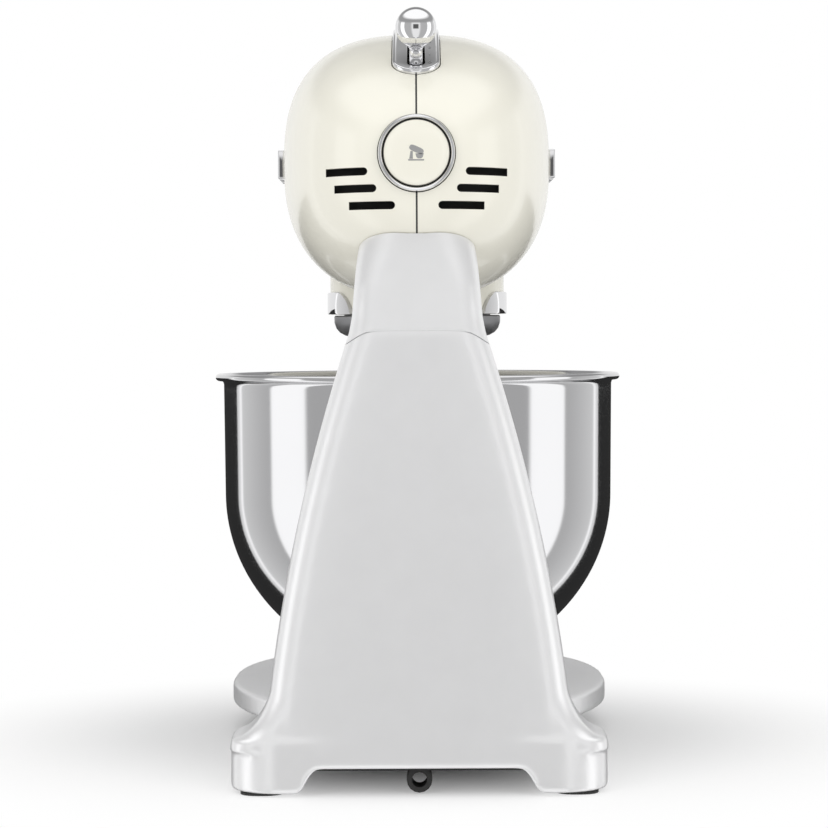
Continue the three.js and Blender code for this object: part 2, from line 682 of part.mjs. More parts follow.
function latchHook() {
  const plate = crosswise([
    [143.5, 304], [150, 304], [150, 290], [145, 262], [143, 244], [142, 219], [129, 219],
    [127.5, 222], [136, 225.5], [134, 250], [134, 262],
  ], -3, 3);
  return without(plate, bar("x", 2.9, -10, 10, [138, 258.5]));
}
add("latch_hook", latchHook(), steel);

// ---------------------------------------------------------------- front outlet
add("front_cap", turnedAlongY([
  [0, -170], [15, -170], [15, -176.2], [26.4, -176.2], [26.4, -179], [24, -181.6], [12, -182.6], [0, -182.8],
], OUTLET_Z), chrome);

function bevelGear(axis, sign, near, far, phaseDeg) {
  const outline = gearOutline(BEVEL_TEETH, 1, 1.09, 0.84, phaseDeg, 0.34);
  const place = (distance) => outline.map(([u, v]) => (axis === "z"
    ? [u * distance, AXIS_Y + v * distance, OUTLET_Z + sign * distance]
    : [u * distance, AXIS_Y + sign * distance, OUTLET_Z + v * distance]));
  return loft([place(near), place(far)]);
}
const bevelPhase = 180 / BEVEL_TEETH;

add("outlet_bevel", without(
  joined(bevelGear("y", -1, 13, 21, 90), bar("y", 10, -75, AXIS_Y - 20.5, [0, OUTLET_Z])),
  bar("y", SHAFT + GAP, -90, -40, [0, OUTLET_Z]),
), steel);

function outletShaft() {
  const shaft = bar("y", SHAFT, -140, AXIS_Y - 13.5, [0, OUTLET_Z]);
  const socket = bar("y", 11, -162, -138, [0, OUTLET_Z]);
  return without(joined(shaft, socket), box([-5, -170, OUTLET_Z - 5], [5, -144, OUTLET_Z + 5]));
}
add("outlet_shaft", outletShaft(), steel);
add("outlet_bearing", tube("y", SHAFT + GAP, 13, -132, -122, [0, OUTLET_Z]), steel);

add("lock_knob", joined(
  bar("x", 9.5, -63, -48.5, [-150, OUTLET_Z]),
  bar("x", 3, -49, -24, [-150, OUTLET_Z]),
), chrome);

// ---------------------------------------------------------------- planetary drive
add("planet_carrier", without(
  turned([
    [0, 213], [37, 213], [42.5, 215], [45.5, 219], [45.5, 224.9], [40, 224.9], [40, 228.2], [0, 228.2],
  ]),
  bar("z", SHAFT + GAP, 220, 240, [0, AXIS_Y]),
  bar("z", 5.3, 200, 240, [ORBIT, AXIS_Y]),
), grey);
add("drive_shaft", bar("z", SHAFT, 220.5, 342, [0, AXIS_Y]), steel);
add("drive_bevel", without(
  joined(bevelGear("z", -1, 13, 21, 90 + bevelPhase), bar("z", 10, 268, 279.5, [0, AXIS_Y])),
  bar("z", SHAFT + GAP, 250, 300, [0, AXIS_Y]),
), steel);
add("drive_pulley", without(
  bar("z", BELT.drive, 330, 340, [0, AXIS_Y]),
  bar("z", SHAFT + GAP, 320, 350, [0, AXIS_Y]),
), nylon);

// ---------------------------------------------------------------- beater
function planetPinion() {
  const outline = gearOutline(
    PLANET_TEETH, planetPitch, 1 + 1.0 / planetPitch, 1 - 1.7 / planetPitch, 0, 0.3,
  );
  return without(
    slab(outline.map(([x, y]) => [x + ORBIT, y + AXIS_Y]), 229.2, 237),
    bar("z", 5.3, 220, 240, [ORBIT, AXIS_Y]),
  );
}
add("planet_pinion", planetPinion(), steel);

add("beater_shaft", joined(
  bar("z", 5, 178, 237, [ORBIT, AXIS_Y]),
  bar("x", 1.8, ORBIT - 9, ORBIT + 9, [AXIS_Y, 184]),
), steel);

// Half width of the flat beater at a height: it keeps clear of the bowl as it circles.
function beaterHalfWidth(z, inset) {
  const room = bowlRadius(z, BOWL.wall) - ORBIT - 5;
  return Math.min(70, room) - inset;
}

function beaterOutline(inset, low, high) {
  const heights = steps(low, high, 12);
  const right = heights.map((z) => [beaterHalfWidth(z, inset), z]);
  return [...right, ...right.map(([x, z]) => [-x, z]).reverse()];
}

function flatBeater() {
  const half = 4.5;
  const upright = (outline) => {
    const geometry = new THREE.ExtrudeGeometry(shapeFrom(outline), { depth: 2 * half, bevelEnabled: false });
    geometry.rotateX(Math.PI / 2);
    geometry.translate(ORBIT, AXIS_Y + half, 0);
    return solidOf(geometry);
  };
  const frame = without(upright(beaterOutline(0, 43, 152)), upright(beaterOutline(9, 52, 143)));
  const spine = box([ORBIT - 5, AXIS_Y - half, 46], [ORBIT + 5, AXIS_Y + half, 150]);
  const ribs = [78, 110].map((z) => {
    const reach = beaterHalfWidth(z, 4);
    return box([ORBIT - reach, AXIS_Y - half, z - 4], [ORBIT + reach, AXIS_Y + half, z + 4]);
  });
  const hub = bar("z", 10.5, 148, 196, [ORBIT, AXIS_Y]);
  const socket = bar("z", 5.4, 176, 200, [ORBIT, AXIS_Y]);
  const slot = box([ORBIT - 12, AXIS_Y - 2.2, 181], [ORBIT + 12, AXIS_Y + 2.2, 200]);
  return without(joined(frame, spine, ...ribs, hub), socket, slot);
}
add("flat_beater", flatBeater(), satin);

// ---------------------------------------------------------------- motor rotor
add("motor_rotor", tube("z", 4.3, 26, 257, 303, [0, MOTOR_Y]), steel);
add("motor_shaft", joined(
  bar("z", 4, 252, 341, [0, MOTOR_Y]),
  bar("z", BELT.motor, 330, 340, [0, MOTOR_Y]),
), steel);

function coolingFan() {
  const disc = tube("z", 4.3, 30, 309, 311, [0, MOTOR_Y]);
  const blades = Array.from({ length: 12 }, (_, i) => {
    const geometry = new THREE.BoxGeometry(18, 1.4, 7);
    geometry.translate(19, 0, 314);
    geometry.rotateZ(i * Math.PI / 6);
    geometry.translate(0, MOTOR_Y, 0);
    return solidOf(geometry);
  });
  return joined(disc, ...blades);
}
add("cooling_fan", coolingFan(), nylon);

export default mixer;
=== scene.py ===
import json
import math

import bmesh
import bpy
from mathutils import Matrix, Vector
from mathutils.bvhtree import BVHTree


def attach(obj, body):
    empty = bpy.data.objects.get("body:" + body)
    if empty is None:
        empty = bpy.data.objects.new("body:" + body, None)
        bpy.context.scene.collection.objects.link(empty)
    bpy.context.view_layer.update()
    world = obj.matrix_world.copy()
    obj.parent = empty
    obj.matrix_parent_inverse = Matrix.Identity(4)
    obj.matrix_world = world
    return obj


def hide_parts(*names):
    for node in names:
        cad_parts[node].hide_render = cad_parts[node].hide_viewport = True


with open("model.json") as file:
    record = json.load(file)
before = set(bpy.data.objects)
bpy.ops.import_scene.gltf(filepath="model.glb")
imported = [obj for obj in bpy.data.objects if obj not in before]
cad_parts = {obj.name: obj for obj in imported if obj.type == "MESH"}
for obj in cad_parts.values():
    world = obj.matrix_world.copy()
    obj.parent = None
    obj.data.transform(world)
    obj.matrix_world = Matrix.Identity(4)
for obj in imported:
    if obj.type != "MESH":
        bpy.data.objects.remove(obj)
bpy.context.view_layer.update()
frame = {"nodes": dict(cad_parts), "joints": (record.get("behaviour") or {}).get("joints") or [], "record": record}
NODES = frame["nodes"]
SCENE = bpy.context.scene

MM = 0.001


# ---------------------------------------------------------------- driving dimensions
# The moving parts turn about the places that the frame gives for its joints.
JOINT_PLACES = {joint["name"]: joint.get("pos_m") for joint in frame["joints"]}
PIVOT_Y = JOINT_PLACES["head_tilt"][1] / MM
PIVOT_Z = JOINT_PLACES["head_tilt"][2] / MM
AXIS_Y = JOINT_PLACES["planetary_spin"][1] / MM
ORBIT = JOINT_PLACES["beater_spin"][0] / MM
LEVER_Y = JOINT_PLACES["speed_lever"][1] / MM
LEVER_Z = JOINT_PLACES["speed_lever"][2] / MM

# The head is a long rounded body, widest behind its middle. The powers say how square it is.
HEAD_APEX_Y = 48
HEAD_MID_Z = 300
HEAD_HALF_WIDTH = 67.8
HEAD_UP = 68
HEAD_DOWN = 67
HEAD_REAR = 136
HEAD_FRONT = 228
HEAD_WALL = 3
SEAM_HALF = 0.45
UPPER_POWER = 2.65
LOWER_POWER = 2.4
REAR_TOP_POWER = 2.0
REAR_LOW_POWER = 2.4
FRONT_POWER = 2.7

# Openings in the head.
NECK_OPENING_HALF = 20.2
NECK_OPENING_FRONT = 91.8
NECK_OPENING_REAR = 152.5
NOSE_OPENING = 27.6
BUTTON_OPENING = 18.65
BUTTON_Z = 300.4
OUTLET_Z = 300
KNOB_Y = -150
KNOB_OPENING = 3.6
VENT_HALF_HEIGHT = 1.9
VENTS = [(292, 23.2, 43.3), (284, 19, 39.2), (276, 10.2, 32.2)]

# The neck ends in a round knuckle that turns in the column; their seam slopes up to the front.
KNUCKLE = 13.6
SEAT = 14.1
SEAM_Y = 182
SEAM_Z = 217.6
SEAM_SLOPE = 0.2

# The column narrows upwards in a slight curve, and the neck carries it on into the head.
COLUMN_TOP_Z = 219
COLUMN_TOP_HALF = 31.4
COLUMN_SPREAD = 0.332
COLUMN_SPREAD_EASE = 0.00062
COLUMN_FRONT = 72
COLUMN_LEAN = 0.0872
COLUMN_CORNER = 11
COLUMN_FRONT_CORNER = 14
NECK_TOP = 262
NECK_TAPER = 3.1
NECK_END_TAPER = 1.5
NECK_LEAN = 0.27
NECK_CORNER_Z = 236
NECK_CORNER_RISE = 22
NECK_CORNER_GAIN = 7
CROWN = 1.6

# The foot is a block under the column, and the platform reaches forward under the bowl.
REAR_Y = 201
FOOT_WIDTH = 88.8
FOOT_TOP = 26
FOOT_FLOOR = 1.5
FOOT_CORNER = 23
FLARE_WIDTH = 16.4
FLARE_TOP = 54
PLATE_LOW = 15
PLATFORM_HALF_WIDTH = 102
PLATFORM_MID_Y = -56
PLATFORM_FORWARD = 145
PLATFORM_BACK = 154
ARCH_HALF_WIDTH = 45
ARCH_END_WIDTH = 15
ARCH_HEIGHT = 11.5
ARCH_POWER = 2.4

HUB_OUTER = 47.5
HUB_INNER = 44.3
HUB_LOW = 225.5

BOWL_RADIUS = 105.3
BOWL_RIM = 110.5
BOWL_RIM_Z = 191.5
BOWL_RIM_BEAD = 1.9
BOWL_FLOOR = 31.5
BOWL_SHOULDER = 128
BOWL_WALL = 1.5
BOWL_LEAN = 0.011

# The speed lever swings over an arc of this radius; its track is measured along that arc.
TRACK_TOP = 213
TRACK_REAR_DEG = 27.1
TRACK_FRONT_DEG = -4
TRACK_REAR = math.radians(TRACK_REAR_DEG) * TRACK_TOP
TRACK_FRONT = math.radians(TRACK_FRONT_DEG) * TRACK_TOP
TRACK_HALF = 11.55
TRACK_SLOT_HALF = 4.2
TRACK_GAP = 0.4


# ---------------------------------------------------------------- materials
def shader(name, colour, roughness, metallic=0.0, coat=0.0):
    material = bpy.data.materials.new(name)
    material.use_nodes = True
    principled = material.node_tree.nodes["Principled BSDF"]
    principled.inputs["Base Color"].default_value = (*colour, 1)
    principled.inputs["Roughness"].default_value = roughness
    principled.inputs["Metallic"].default_value = metallic
    principled.inputs["Coat Weight"].default_value = coat
    return material, material.node_tree.nodes, material.node_tree.links, principled


def noise(nodes, links, scale, detail, stretch=(1, 1, 1)):
    place = nodes.new("ShaderNodeTexCoord")
    mapping = nodes.new("ShaderNodeMapping")
    mapping.inputs["Scale"].default_value = stretch
    texture = nodes.new("ShaderNodeTexNoise")
    texture.inputs["Scale"].default_value = scale
    texture.inputs["Detail"].default_value = detail
    links.new(place.outputs["Object"], mapping.inputs["Vector"])
    links.new(mapping.outputs["Vector"], texture.inputs["Vector"])
    return texture.outputs["Fac"]


def ramp(nodes, links, source, low, high):
    """Maps the middle of a 0 to 1 noise onto a span of values."""
    span = nodes.new("ShaderNodeMapRange")
    span.inputs["From Min"].default_value = 0.3
    span.inputs["From Max"].default_value = 0.7
    span.inputs["To Min"].default_value = low
    span.inputs["To Max"].default_value = high
    links.new(source, span.inputs["Value"])
    return span.outputs["Result"]


def tint(nodes, links, source, first, second):
    mix = nodes.new("ShaderNodeMix")
    mix.data_type = "RGBA"
    mix.inputs["A"].default_value = (*first, 1)
    mix.inputs["B"].default_value = (*second, 1)
    links.new(source, mix.inputs["Factor"])
    return mix.outputs["Result"]


def bump(nodes, links, source, strength, distance):
    node = nodes.new("ShaderNodeBump")
    node.inputs["Strength"].default_value = strength
    node.inputs["Distance"].default_value = distance
    links.new(source, node.inputs["Height"])
    return node.outputs["Normal"]


BUMP_STRENGTH = 0.25
BROAD_SCALE = 0.03


def textured(
    name, colour, second, roughness, variation, scale, depth, metallic=0.0, coat=0.0, stretch=(1, 1, 1),
):
    """A surface whose colour, roughness and fine relief all vary a little over it."""
    material, nodes, links, principled = shader(name, colour, roughness, metallic, coat)
    grain = noise(nodes, links, scale, 4.0, stretch)
    broad = noise(nodes, links, scale * BROAD_SCALE, 2.0)
    shades = tint(nodes, links, broad, colour, second)
    gloss = ramp(nodes, links, grain, roughness - variation, roughness + variation)
    relief = bump(nodes, links, grain, BUMP_STRENGTH, depth)
    links.new(shades, principled.inputs["Base Color"])
    links.new(gloss, principled.inputs["Roughness"])
    links.new(relief, principled.inputs["Normal"])
    return material


def make_materials():
    """Each finish has two close colours; scale counts the grain per metre, depth is in metres."""
    return {
        "enamel": textured(
            "enamel", (0.84, 0.82, 0.72), (0.855, 0.835, 0.74),
            roughness=0.22, variation=0.015, scale=260, depth=0.00001, coat=0.3,
        ),
        "satin": textured(
            "satin_casting", (0.86, 0.86, 0.865), (0.90, 0.90, 0.905),
            roughness=0.34, variation=0.04, scale=2400, depth=0.00006, metallic=0.55,
        ),
        "chrome": textured(
            "chrome", (0.80, 0.80, 0.81), (0.83, 0.83, 0.84),
            roughness=0.06, variation=0.01, scale=300, depth=0.000002, metallic=1.0,
        ),
        "polished": textured(
            "polished_steel", (0.66, 0.66, 0.67), (0.69, 0.69, 0.70),
            roughness=0.085, variation=0.015, scale=500, depth=0.000002, metallic=1.0,
            stretch=(1, 1, 12),
        ),
        "steel": textured(
            "machined_steel", (0.50, 0.50, 0.51), (0.56, 0.56, 0.57),
            roughness=0.30, variation=0.05, scale=900, depth=0.00001, metallic=1.0,
        ),
        "grey": textured(
            "grey_casting", (0.30, 0.30, 0.31), (0.33, 0.33, 0.34),
            roughness=0.42, variation=0.05, scale=1500, depth=0.00002, metallic=0.8,
        ),
        "black": textured(
            "black_plastic", (0.018, 0.018, 0.018), (0.025, 0.025, 0.025),
            roughness=0.55, variation=0.05, scale=1800, depth=0.00003,
        ),
        "rubber": textured(
            "rubber", (0.020, 0.020, 0.020), (0.032, 0.031, 0.030),
            roughness=0.75, variation=0.06, scale=1200, depth=0.00004,
        ),
        "copper": textured(
            "copper", (0.48, 0.20, 0.09), (0.56, 0.25, 0.11),
            roughness=0.38, variation=0.06, scale=700, depth=0.00005, metallic=0.9,
            stretch=(1, 1, 8),
        ),
        "board": textured(
            "board", (0.02, 0.13, 0.06), (0.03, 0.17, 0.08),
            roughness=0.45, variation=0.05, scale=400, depth=0.00002,
        ),
        "nylon": textured(
            "nylon", (0.72, 0.70, 0.63), (0.77, 0.75, 0.69),
            roughness=0.45, variation=0.05, scale=900, depth=0.00002,
        ),
        "print": textured(
            "grey_print", (0.28, 0.28, 0.28), (0.32, 0.32, 0.32),
            roughness=0.5, variation=0.05, scale=900, depth=0.000005,
        ),
    }


MATERIALS = make_materials()
SLOTS = {
    "enamel": "enamel", "satin": "satin_casting", "chrome": "chrome", "polished": "polished_steel",
    "steel": "machined_steel", "grey": "grey_casting", "black": "black_plastic", "rubber": "rubber",
    "copper": "copper", "board": "board", "nylon": "nylon", "print": "grey_casting",
}
FINISH_OF_SLOT = {slot: finish for finish, slot in SLOTS.items() if finish != "print"}


# ---------------------------------------------------------------- mesh helpers
def new_object(name, verts, faces):
    mesh = bpy.data.meshes.new(name)
    mesh.from_pydata([Vector(v) * MM for v in verts], [], faces)
    mesh.validate()
    obj = bpy.data.objects.new(name, mesh)
    SCENE.collection.objects.link(obj)
    work = bmesh.new()
    work.from_mesh(mesh)
    bmesh.ops.recalc_face_normals(work, faces=work.faces)
    work.to_mesh(mesh)
    work.free()
    return obj


def loft(name, rings):
    """A closed skin over rings of points with the same count, with a fan cap at each end."""
    count = len(rings[0])
    verts = [point for ring in rings for point in ring]
    faces = []
    for r in range(len(rings) - 1):
        for i in range(count):
            j = (i + 1) % count
            faces.append((r * count + i, r * count + j, (r + 1) * count + j, (r + 1) * count + i))
    faces.append(tuple(reversed(range(count))))
    faces.append(tuple((len(rings) - 1) * count + i for i in range(count)))
    return new_object(name, verts, faces)


def looped(name, sections):
    """A ring-shaped skin: closed sections, each joined to the next and the last to the first."""
    count = len(sections[0])
    total = len(sections)
    verts = [point for section in sections for point in section]
    faces = []
    for r in range(total):
        after = (r + 1) % total
        for i in range(count):
            j = (i + 1) % count
            faces.append((r * count + i, r * count + j, after * count + j, after * count + i))
    return new_object(name, verts, faces)


def turned(name, profile, centre=(0, AXIS_Y, 0), axis="z", sides=96):
    """A profile of (radius, place) turned about an axis; radius 0 at an end closes it there."""
    verts = []
    rows = []
    for radius, place in profile:
        row = []
        for i in range(1 if radius == 0 else sides):
            angle = 2 * math.pi * i / sides
            u = radius * math.cos(angle)
            v = radius * math.sin(angle)
            point = {"z": (u, v, place), "y": (u, place, v), "x": (place, u, v)}[axis]
            row.append(len(verts))
            verts.append(tuple(point[k] + centre[k] for k in range(3)))
        rows.append(row)
    faces = []
    pairs = list(zip(rows, rows[1:]))
    if profile[0][0] != 0:
        pairs.append((rows[-1], rows[0]))
    for first, second in pairs:
        for i in range(sides):
            j = (i + 1) % sides
            corners = [
                first[i % len(first)], first[j % len(first)],
                second[j % len(second)], second[i % len(second)],
            ]
            corners = list(dict.fromkeys(corners))
            if len(corners) > 2:
                faces.append(tuple(corners))
    return new_object(name, verts, faces)


def prism(name, outline, low, high, plane="xy"):
    """An outline in one plane, spread between two places on the third axis."""
    def place(u, v, w):
        return {"xy": (u, v, w), "yz": (w, u, v), "xz": (u, w, v)}[plane]
    count = len(outline)
    verts = [place(u, v, low) for u, v in outline] + [place(u, v, high) for u, v in outline]
    faces = [tuple(reversed(range(count))), tuple(range(count, 2 * count))]
    for i in range(count):
        j = (i + 1) % count
        faces.append((i, j, count + j, count + i))
    return new_object(name, verts, faces)


def block(name, low, high):
    outline = [(low[0], low[1]), (high[0], low[1]), (high[0], high[1]), (low[0], high[1])]
    return prism(name, outline, low[2], high[2])


def settle(obj):
    """Applies every modifier of an object."""
    graph = bpy.context.evaluated_depsgraph_get()
    mesh = bpy.data.meshes.new_from_object(obj.evaluated_get(graph))
    old = obj.data
    obj.modifiers.clear()
    obj.data = mesh
    bpy.data.meshes.remove(old)
    return obj


def combine(target, operation, *tools):
    """Joins, cuts or intersects target with each tool, and removes the tools."""
    for tool in tools:
        modifier = target.modifiers.new("combine", "BOOLEAN")
        modifier.operation = operation
        modifier.solver = "MANIFOLD"
        modifier.object = tool
        settle(target)
        bpy.data.objects.remove(tool)
    return target


def copy_of(obj, name):
    twin = obj.copy()
    twin.data = obj.data.copy()
    twin.name = name
    SCENE.collection.objects.link(twin)
    return twin


def rounded(obj, width, angle=40):
    """Rounds the edges that are sharper than the angle."""
    modifier = obj.modifiers.new("edge", "BEVEL")
    modifier.width = width * MM
    modifier.segments = 3
    modifier.limit_method = "ANGLE"
    modifier.angle_limit = math.radians(angle)
    settle(obj)


def cast_skin(obj, voxel, passes):
    """Remeshes a joined solid finely and relaxes it, so that its edges round over like a casting."""
    remesh = obj.modifiers.new("cast", "REMESH")
    remesh.mode = "VOXEL"
    remesh.voxel_size = voxel * MM
    relax = obj.modifiers.new("relax", "SMOOTH")
    relax.factor = 0.5
    relax.iterations = passes
    return settle(obj)


SAME_PLACE = 0.15 * MM
SAME_FACING = 0.85


def take_normals(obj, reference):
    """Shades the stretches of a piece that lie on a reference skin as smoothly as that skin."""
    skin = reference.data
    for polygon in skin.polygons:
        polygon.use_smooth = True
    tree = BVHTree.FromPolygons([v.co for v in skin.vertices], [p.vertices[:] for p in skin.polygons])
    mesh = obj.data
    normals = [corner.vector.copy() for corner in mesh.corner_normals]
    for polygon in mesh.polygons:
        for loop in polygon.loop_indices:
            place = mesh.vertices[mesh.loops[loop].vertex_index].co
            found, facing, index, distance = tree.find_nearest(place)
            if distance > SAME_PLACE or facing.dot(polygon.normal) < SAME_FACING:
                continue
            mixed = Vector((0, 0, 0))
            for corner in skin.polygons[index].vertices:
                gap = (skin.vertices[corner].co - found).length
                mixed += skin.vertices[corner].normal / (gap + 0.01 * MM)
            normals[loop] = mixed.normalized()
    mesh.normals_split_custom_set(normals)


def finish_piece(obj, finish, body, *nodes, angle=35):
    """Shades a piece, gives it its material, and ties it to its body and CAD nodes."""
    for polygon in obj.data.polygons:
        polygon.use_smooth = True
    obj.data.set_sharp_from_angle(angle=math.radians(angle))
    obj.data.materials.clear()
    obj.data.materials.append(MATERIALS[finish])
    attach(obj, body)
    if nodes:
        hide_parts(*nodes)


# ---------------------------------------------------------------- outlines
def spread(low, high, count):
    """Evenly spaced values from low to high, count steps apart."""
    return [low + (high - low) * i / count for i in range(count + 1)]


def arc(y, z, radius, start, end, count=8):
    """Points on a circle between two angles in degrees."""
    return [
        (y + radius * math.cos(math.radians(a)), z + radius * math.sin(math.radians(a)))
        for a in spread(start, end, count)
    ]


def rounded_rect(half_width, y_low, y_high, low_corner, high_corner, count=8):
    return [
        *arc(half_width - low_corner, y_low + low_corner, low_corner, -90, 0, count),
        *arc(half_width - high_corner, y_high - high_corner, high_corner, 0, 90, count),
        *arc(high_corner - half_width, y_high - high_corner, high_corner, 90, 180, count),
        *arc(low_corner - half_width, y_low + low_corner, low_corner, 180, 270, count),
    ]


def power(value, exponent):
    """A power that keeps the sign of its value."""
    return math.copysign(abs(value) ** exponent, value)


SMALLEST_RING = 0.002


def head_body(name, inset, ring_count=120, sides=128):
    """The head's outer form, or one parallel to it: squarish rings from the rear to the nose."""
    rings = []
    for along in spread(0, math.pi, ring_count):
        c = math.cos(along)
        rear = c > 0
        length = (HEAD_REAR if rear else HEAD_FRONT) - inset
        base = REAR_LOW_POWER if rear else FRONT_POWER
        top_power = REAR_TOP_POWER if rear else FRONT_POWER
        run = abs(c) ** (2 / base)
        y = HEAD_APEX_Y + math.copysign(length * run, c)
        low = max(SMALLEST_RING, 1 - run ** base) ** (1 / base)
        top = max(SMALLEST_RING, 1 - run ** top_power) ** (1 / top_power)
        ring = []
        for angle in spread(0, 2 * math.pi * (sides - 1) / sides, sides - 1):
            upper = math.sin(angle) >= 0
            exponent = 2 / (UPPER_POWER if upper else LOWER_POWER)
            height = (HEAD_UP - inset) * top if upper else (HEAD_DOWN - inset) * low
            x = (HEAD_HALF_WIDTH - inset) * low * power(math.cos(angle), exponent)
            ring.append((x, y, HEAD_MID_Z + height * power(math.sin(angle), exponent)))
        rings.append(ring)
    return loft(name, rings)


def column_half_width(z):
    below = COLUMN_TOP_Z - z
    if below >= 0:
        return COLUMN_TOP_HALF + COLUMN_SPREAD * below - COLUMN_SPREAD_EASE * below * below
    up = (z - COLUMN_TOP_Z) / (NECK_TOP - COLUMN_TOP_Z)
    return COLUMN_TOP_HALF - NECK_TAPER * up - NECK_END_TAPER * up ** 6


def column_rear(z):
    if z > SEAM_Z:
        return SEAM_Y - NECK_LEAN * (z - SEAM_Z)
    return REAR_Y - COLUMN_LEAN * z


def flare(z):
    """How far the column's sides sweep out, in a quarter circle, as they come down to the foot."""
    part = min(1, max(0, (FLARE_TOP - z) / (FLARE_TOP - FOOT_TOP)))
    return FLARE_WIDTH * (1 - math.sqrt(1 - part * part))


def column_ring(z, inset, widening=0.0):
    """One level section of the column: round corners and a slightly crowned rear face."""
    half = column_half_width(z) + widening - inset
    front = COLUMN_FRONT + inset
    rear = column_rear(z) - inset
    side = COLUMN_FRONT_CORNER
    corner = COLUMN_CORNER + NECK_CORNER_GAIN * min(1, max(0, (z - NECK_CORNER_Z) / NECK_CORNER_RISE))
    outline = [
        *arc(half - side, front + side, side, -90, 0),
        *arc(half - corner, rear - corner, corner, 0, 90, 12),
        *[(x, rear) for x in spread(half - corner, corner - half, 20)[1:-1]],
        *arc(corner - half, rear - corner, corner, 90, 180, 12),
        *arc(side - half, front + side, side, 180, 270),
    ]
    middle = (front + rear) / 2
    return [(x, y - (CROWN * abs(x / half) ** 4 if y > middle else 0), z) for x, y in outline]


def above_seam(name, lift):
    """The room above the seam between column and neck, lifted by some distance."""
    def at(y):
        return SEAM_Z + SEAM_SLOPE * (SEAM_Y - y) + lift
    return prism(name, [(40, at(40)), (215, at(215)), (215, 320), (40, 320)], -60, 60, "yz")


def rod(name, axis, radius, low, high, centre, sides=64):
    return turned(name, [(0, low), (radius, low), (radius, high), (0, high)], centre, axis, sides)


# ---------------------------------------------------------------- base and neck
def platform_outline(count=96):
    """Rounder at the back, squarer towards the front."""
    points = []
    for angle in spread(0, 2 * math.pi * (count - 1) / count, count - 1):
        forward = math.sin(angle) < 0
        exponent = 2 / (2.4 if forward else 2.0)
        length = PLATFORM_FORWARD if forward else PLATFORM_BACK
        x = PLATFORM_HALF_WIDTH * power(math.cos(angle), exponent)
        points.append((x, PLATFORM_MID_Y + length * power(math.sin(angle), exponent)))
    return points


def arch_outline():
    """The opening under the rear edge: a flat top that rolls down to the floor at each end."""
    def side(sign):
        points = []
        for t in spread(0, 1, 14):
            fall = t ** ARCH_POWER / (t ** ARCH_POWER + (1 - t) ** ARCH_POWER)
            x = sign * (ARCH_HALF_WIDTH + ARCH_END_WIDTH * t)
            points.append((x, FOOT_FLOOR + ARCH_HEIGHT * (1 - fall)))
        return points
    end = ARCH_HALF_WIDTH + ARCH_END_WIDTH + 2
    below = [(end, FOOT_FLOOR), (end, -3), (-end, -3), (-end, FOOT_FLOOR)]
    return [*below, *reversed(side(-1)), *side(1)]


def build_column_skin():
    """The column with its neck, foot and platform in one, its corners filled like a casting's."""
    skin = loft("column_skin", [column_ring(z, 0) for z in [18, *spread(30, NECK_TOP, 30), 276]])
    flare_rings = [
        [(x, max(y, 150), level) for x, y, level in column_ring(z, 0.4, flare(max(z, FOOT_TOP)))]
        for z in [20, 26, 26.5, 27.2, 28.2, 29.5, 31, 33, 36, 40, 45, 50, FLARE_TOP]
    ]
    block_rings = [
        [(x, y, z) for x, y in rounded_rect(FOOT_WIDTH, 140, column_rear(z), 16, FOOT_CORNER, 12)]
        for z in (FOOT_FLOOR, FOOT_TOP)
    ]
    combine(
        skin, "UNION",
        prism("platform", platform_outline(), PLATE_LOW, FOOT_TOP),
        prism("waist", rounded_rect(76, 30, 172, 10, 6), PLATE_LOW, FOOT_TOP),
        loft("rear_block", block_rings),
        loft("flare", flare_rings),
    )
    combine(
        skin, "DIFFERENCE",
        prism("underside", rounded_rect(58, 90, REAR_Y - 8, 6, 8), -2, 13),
        prism("front_recess", rounded_rect(60, 60, 110, 6, 6), -2, 19),
        prism("arch", arch_outline(), 170, 215, "xz"),
    )
    return cast_skin(skin, 1.2, 9)


def build_casting(skin):
    casting = copy_of(skin, "column_and_base")
    combine(
        casting, "DIFFERENCE",
        above_seam("seam_cut", -0.6),
        loft("hollow", [column_ring(z, 4.5) for z in [10, *spread(30, 198, 10)]]),
        block("hook_well", (-10, 116, 190), (10, 152, 260)),
        rod("pocket", "x", SEAT, -60, 60, (0, PIVOT_Y, PIVOT_Z), 96),
        head_body("head_gap", -1.6, 48, 48),
    )
    finish_piece(casting, "satin", "base", "base_casting", angle=50)


def build_neck(skin):
    neck = copy_of(skin, "neck")
    knuckle = rod("knuckle", "x", KNUCKLE, -60, 60, (0, PIVOT_Y, PIVOT_Z), 96)
    combine(neck, "INTERSECT", combine(above_seam("above", 0), "UNION", knuckle))
    combine(
        neck, "DIFFERENCE",
        head_body("head_gap", -0.45, 72, 96),
        block("channel", (-12.5, 119, 190), (12.5, 152, 320)),
    )
    finish_piece(neck, "satin", "head", "neck_casting", angle=50)


# ---------------------------------------------------------------- head
def hollow_head():
    """Both halves of the head in one, with the hub under the nose and all the openings."""
    outer = head_body("outer", 0)
    combine(outer, "UNION", rod("hub", "z", HUB_OUTER, HUB_LOW, NECK_TOP, (0, AXIS_Y, 0), 128))
    inner = head_body("inner", HEAD_WALL, 60, 64)
    combine(inner, "UNION", rod("hub_room", "z", HUB_INNER, HUB_LOW - 6, NECK_TOP, (0, AXIS_Y, 0), 96))
    neck_low = (-NECK_OPENING_HALF, NECK_OPENING_FRONT, 215)
    neck_high = (NECK_OPENING_HALF, NECK_OPENING_REAR, NECK_TOP)
    combine(
        outer, "DIFFERENCE",
        inner,
        block("neck_opening", neck_low, neck_high),
        rod("nose_opening", "y", NOSE_OPENING, -200, -150, (0, 0, OUTLET_Z), 96),
        rod("button_opening", "y", BUTTON_OPENING, 150, 200, (0, 0, BUTTON_Z), 96),
        rod("knob_opening", "x", KNOB_OPENING, -80, -20, (0, KNOB_Y, OUTLET_Z), 32),
        track_cutter(),
        *vent_cutters(),
    )
    return outer


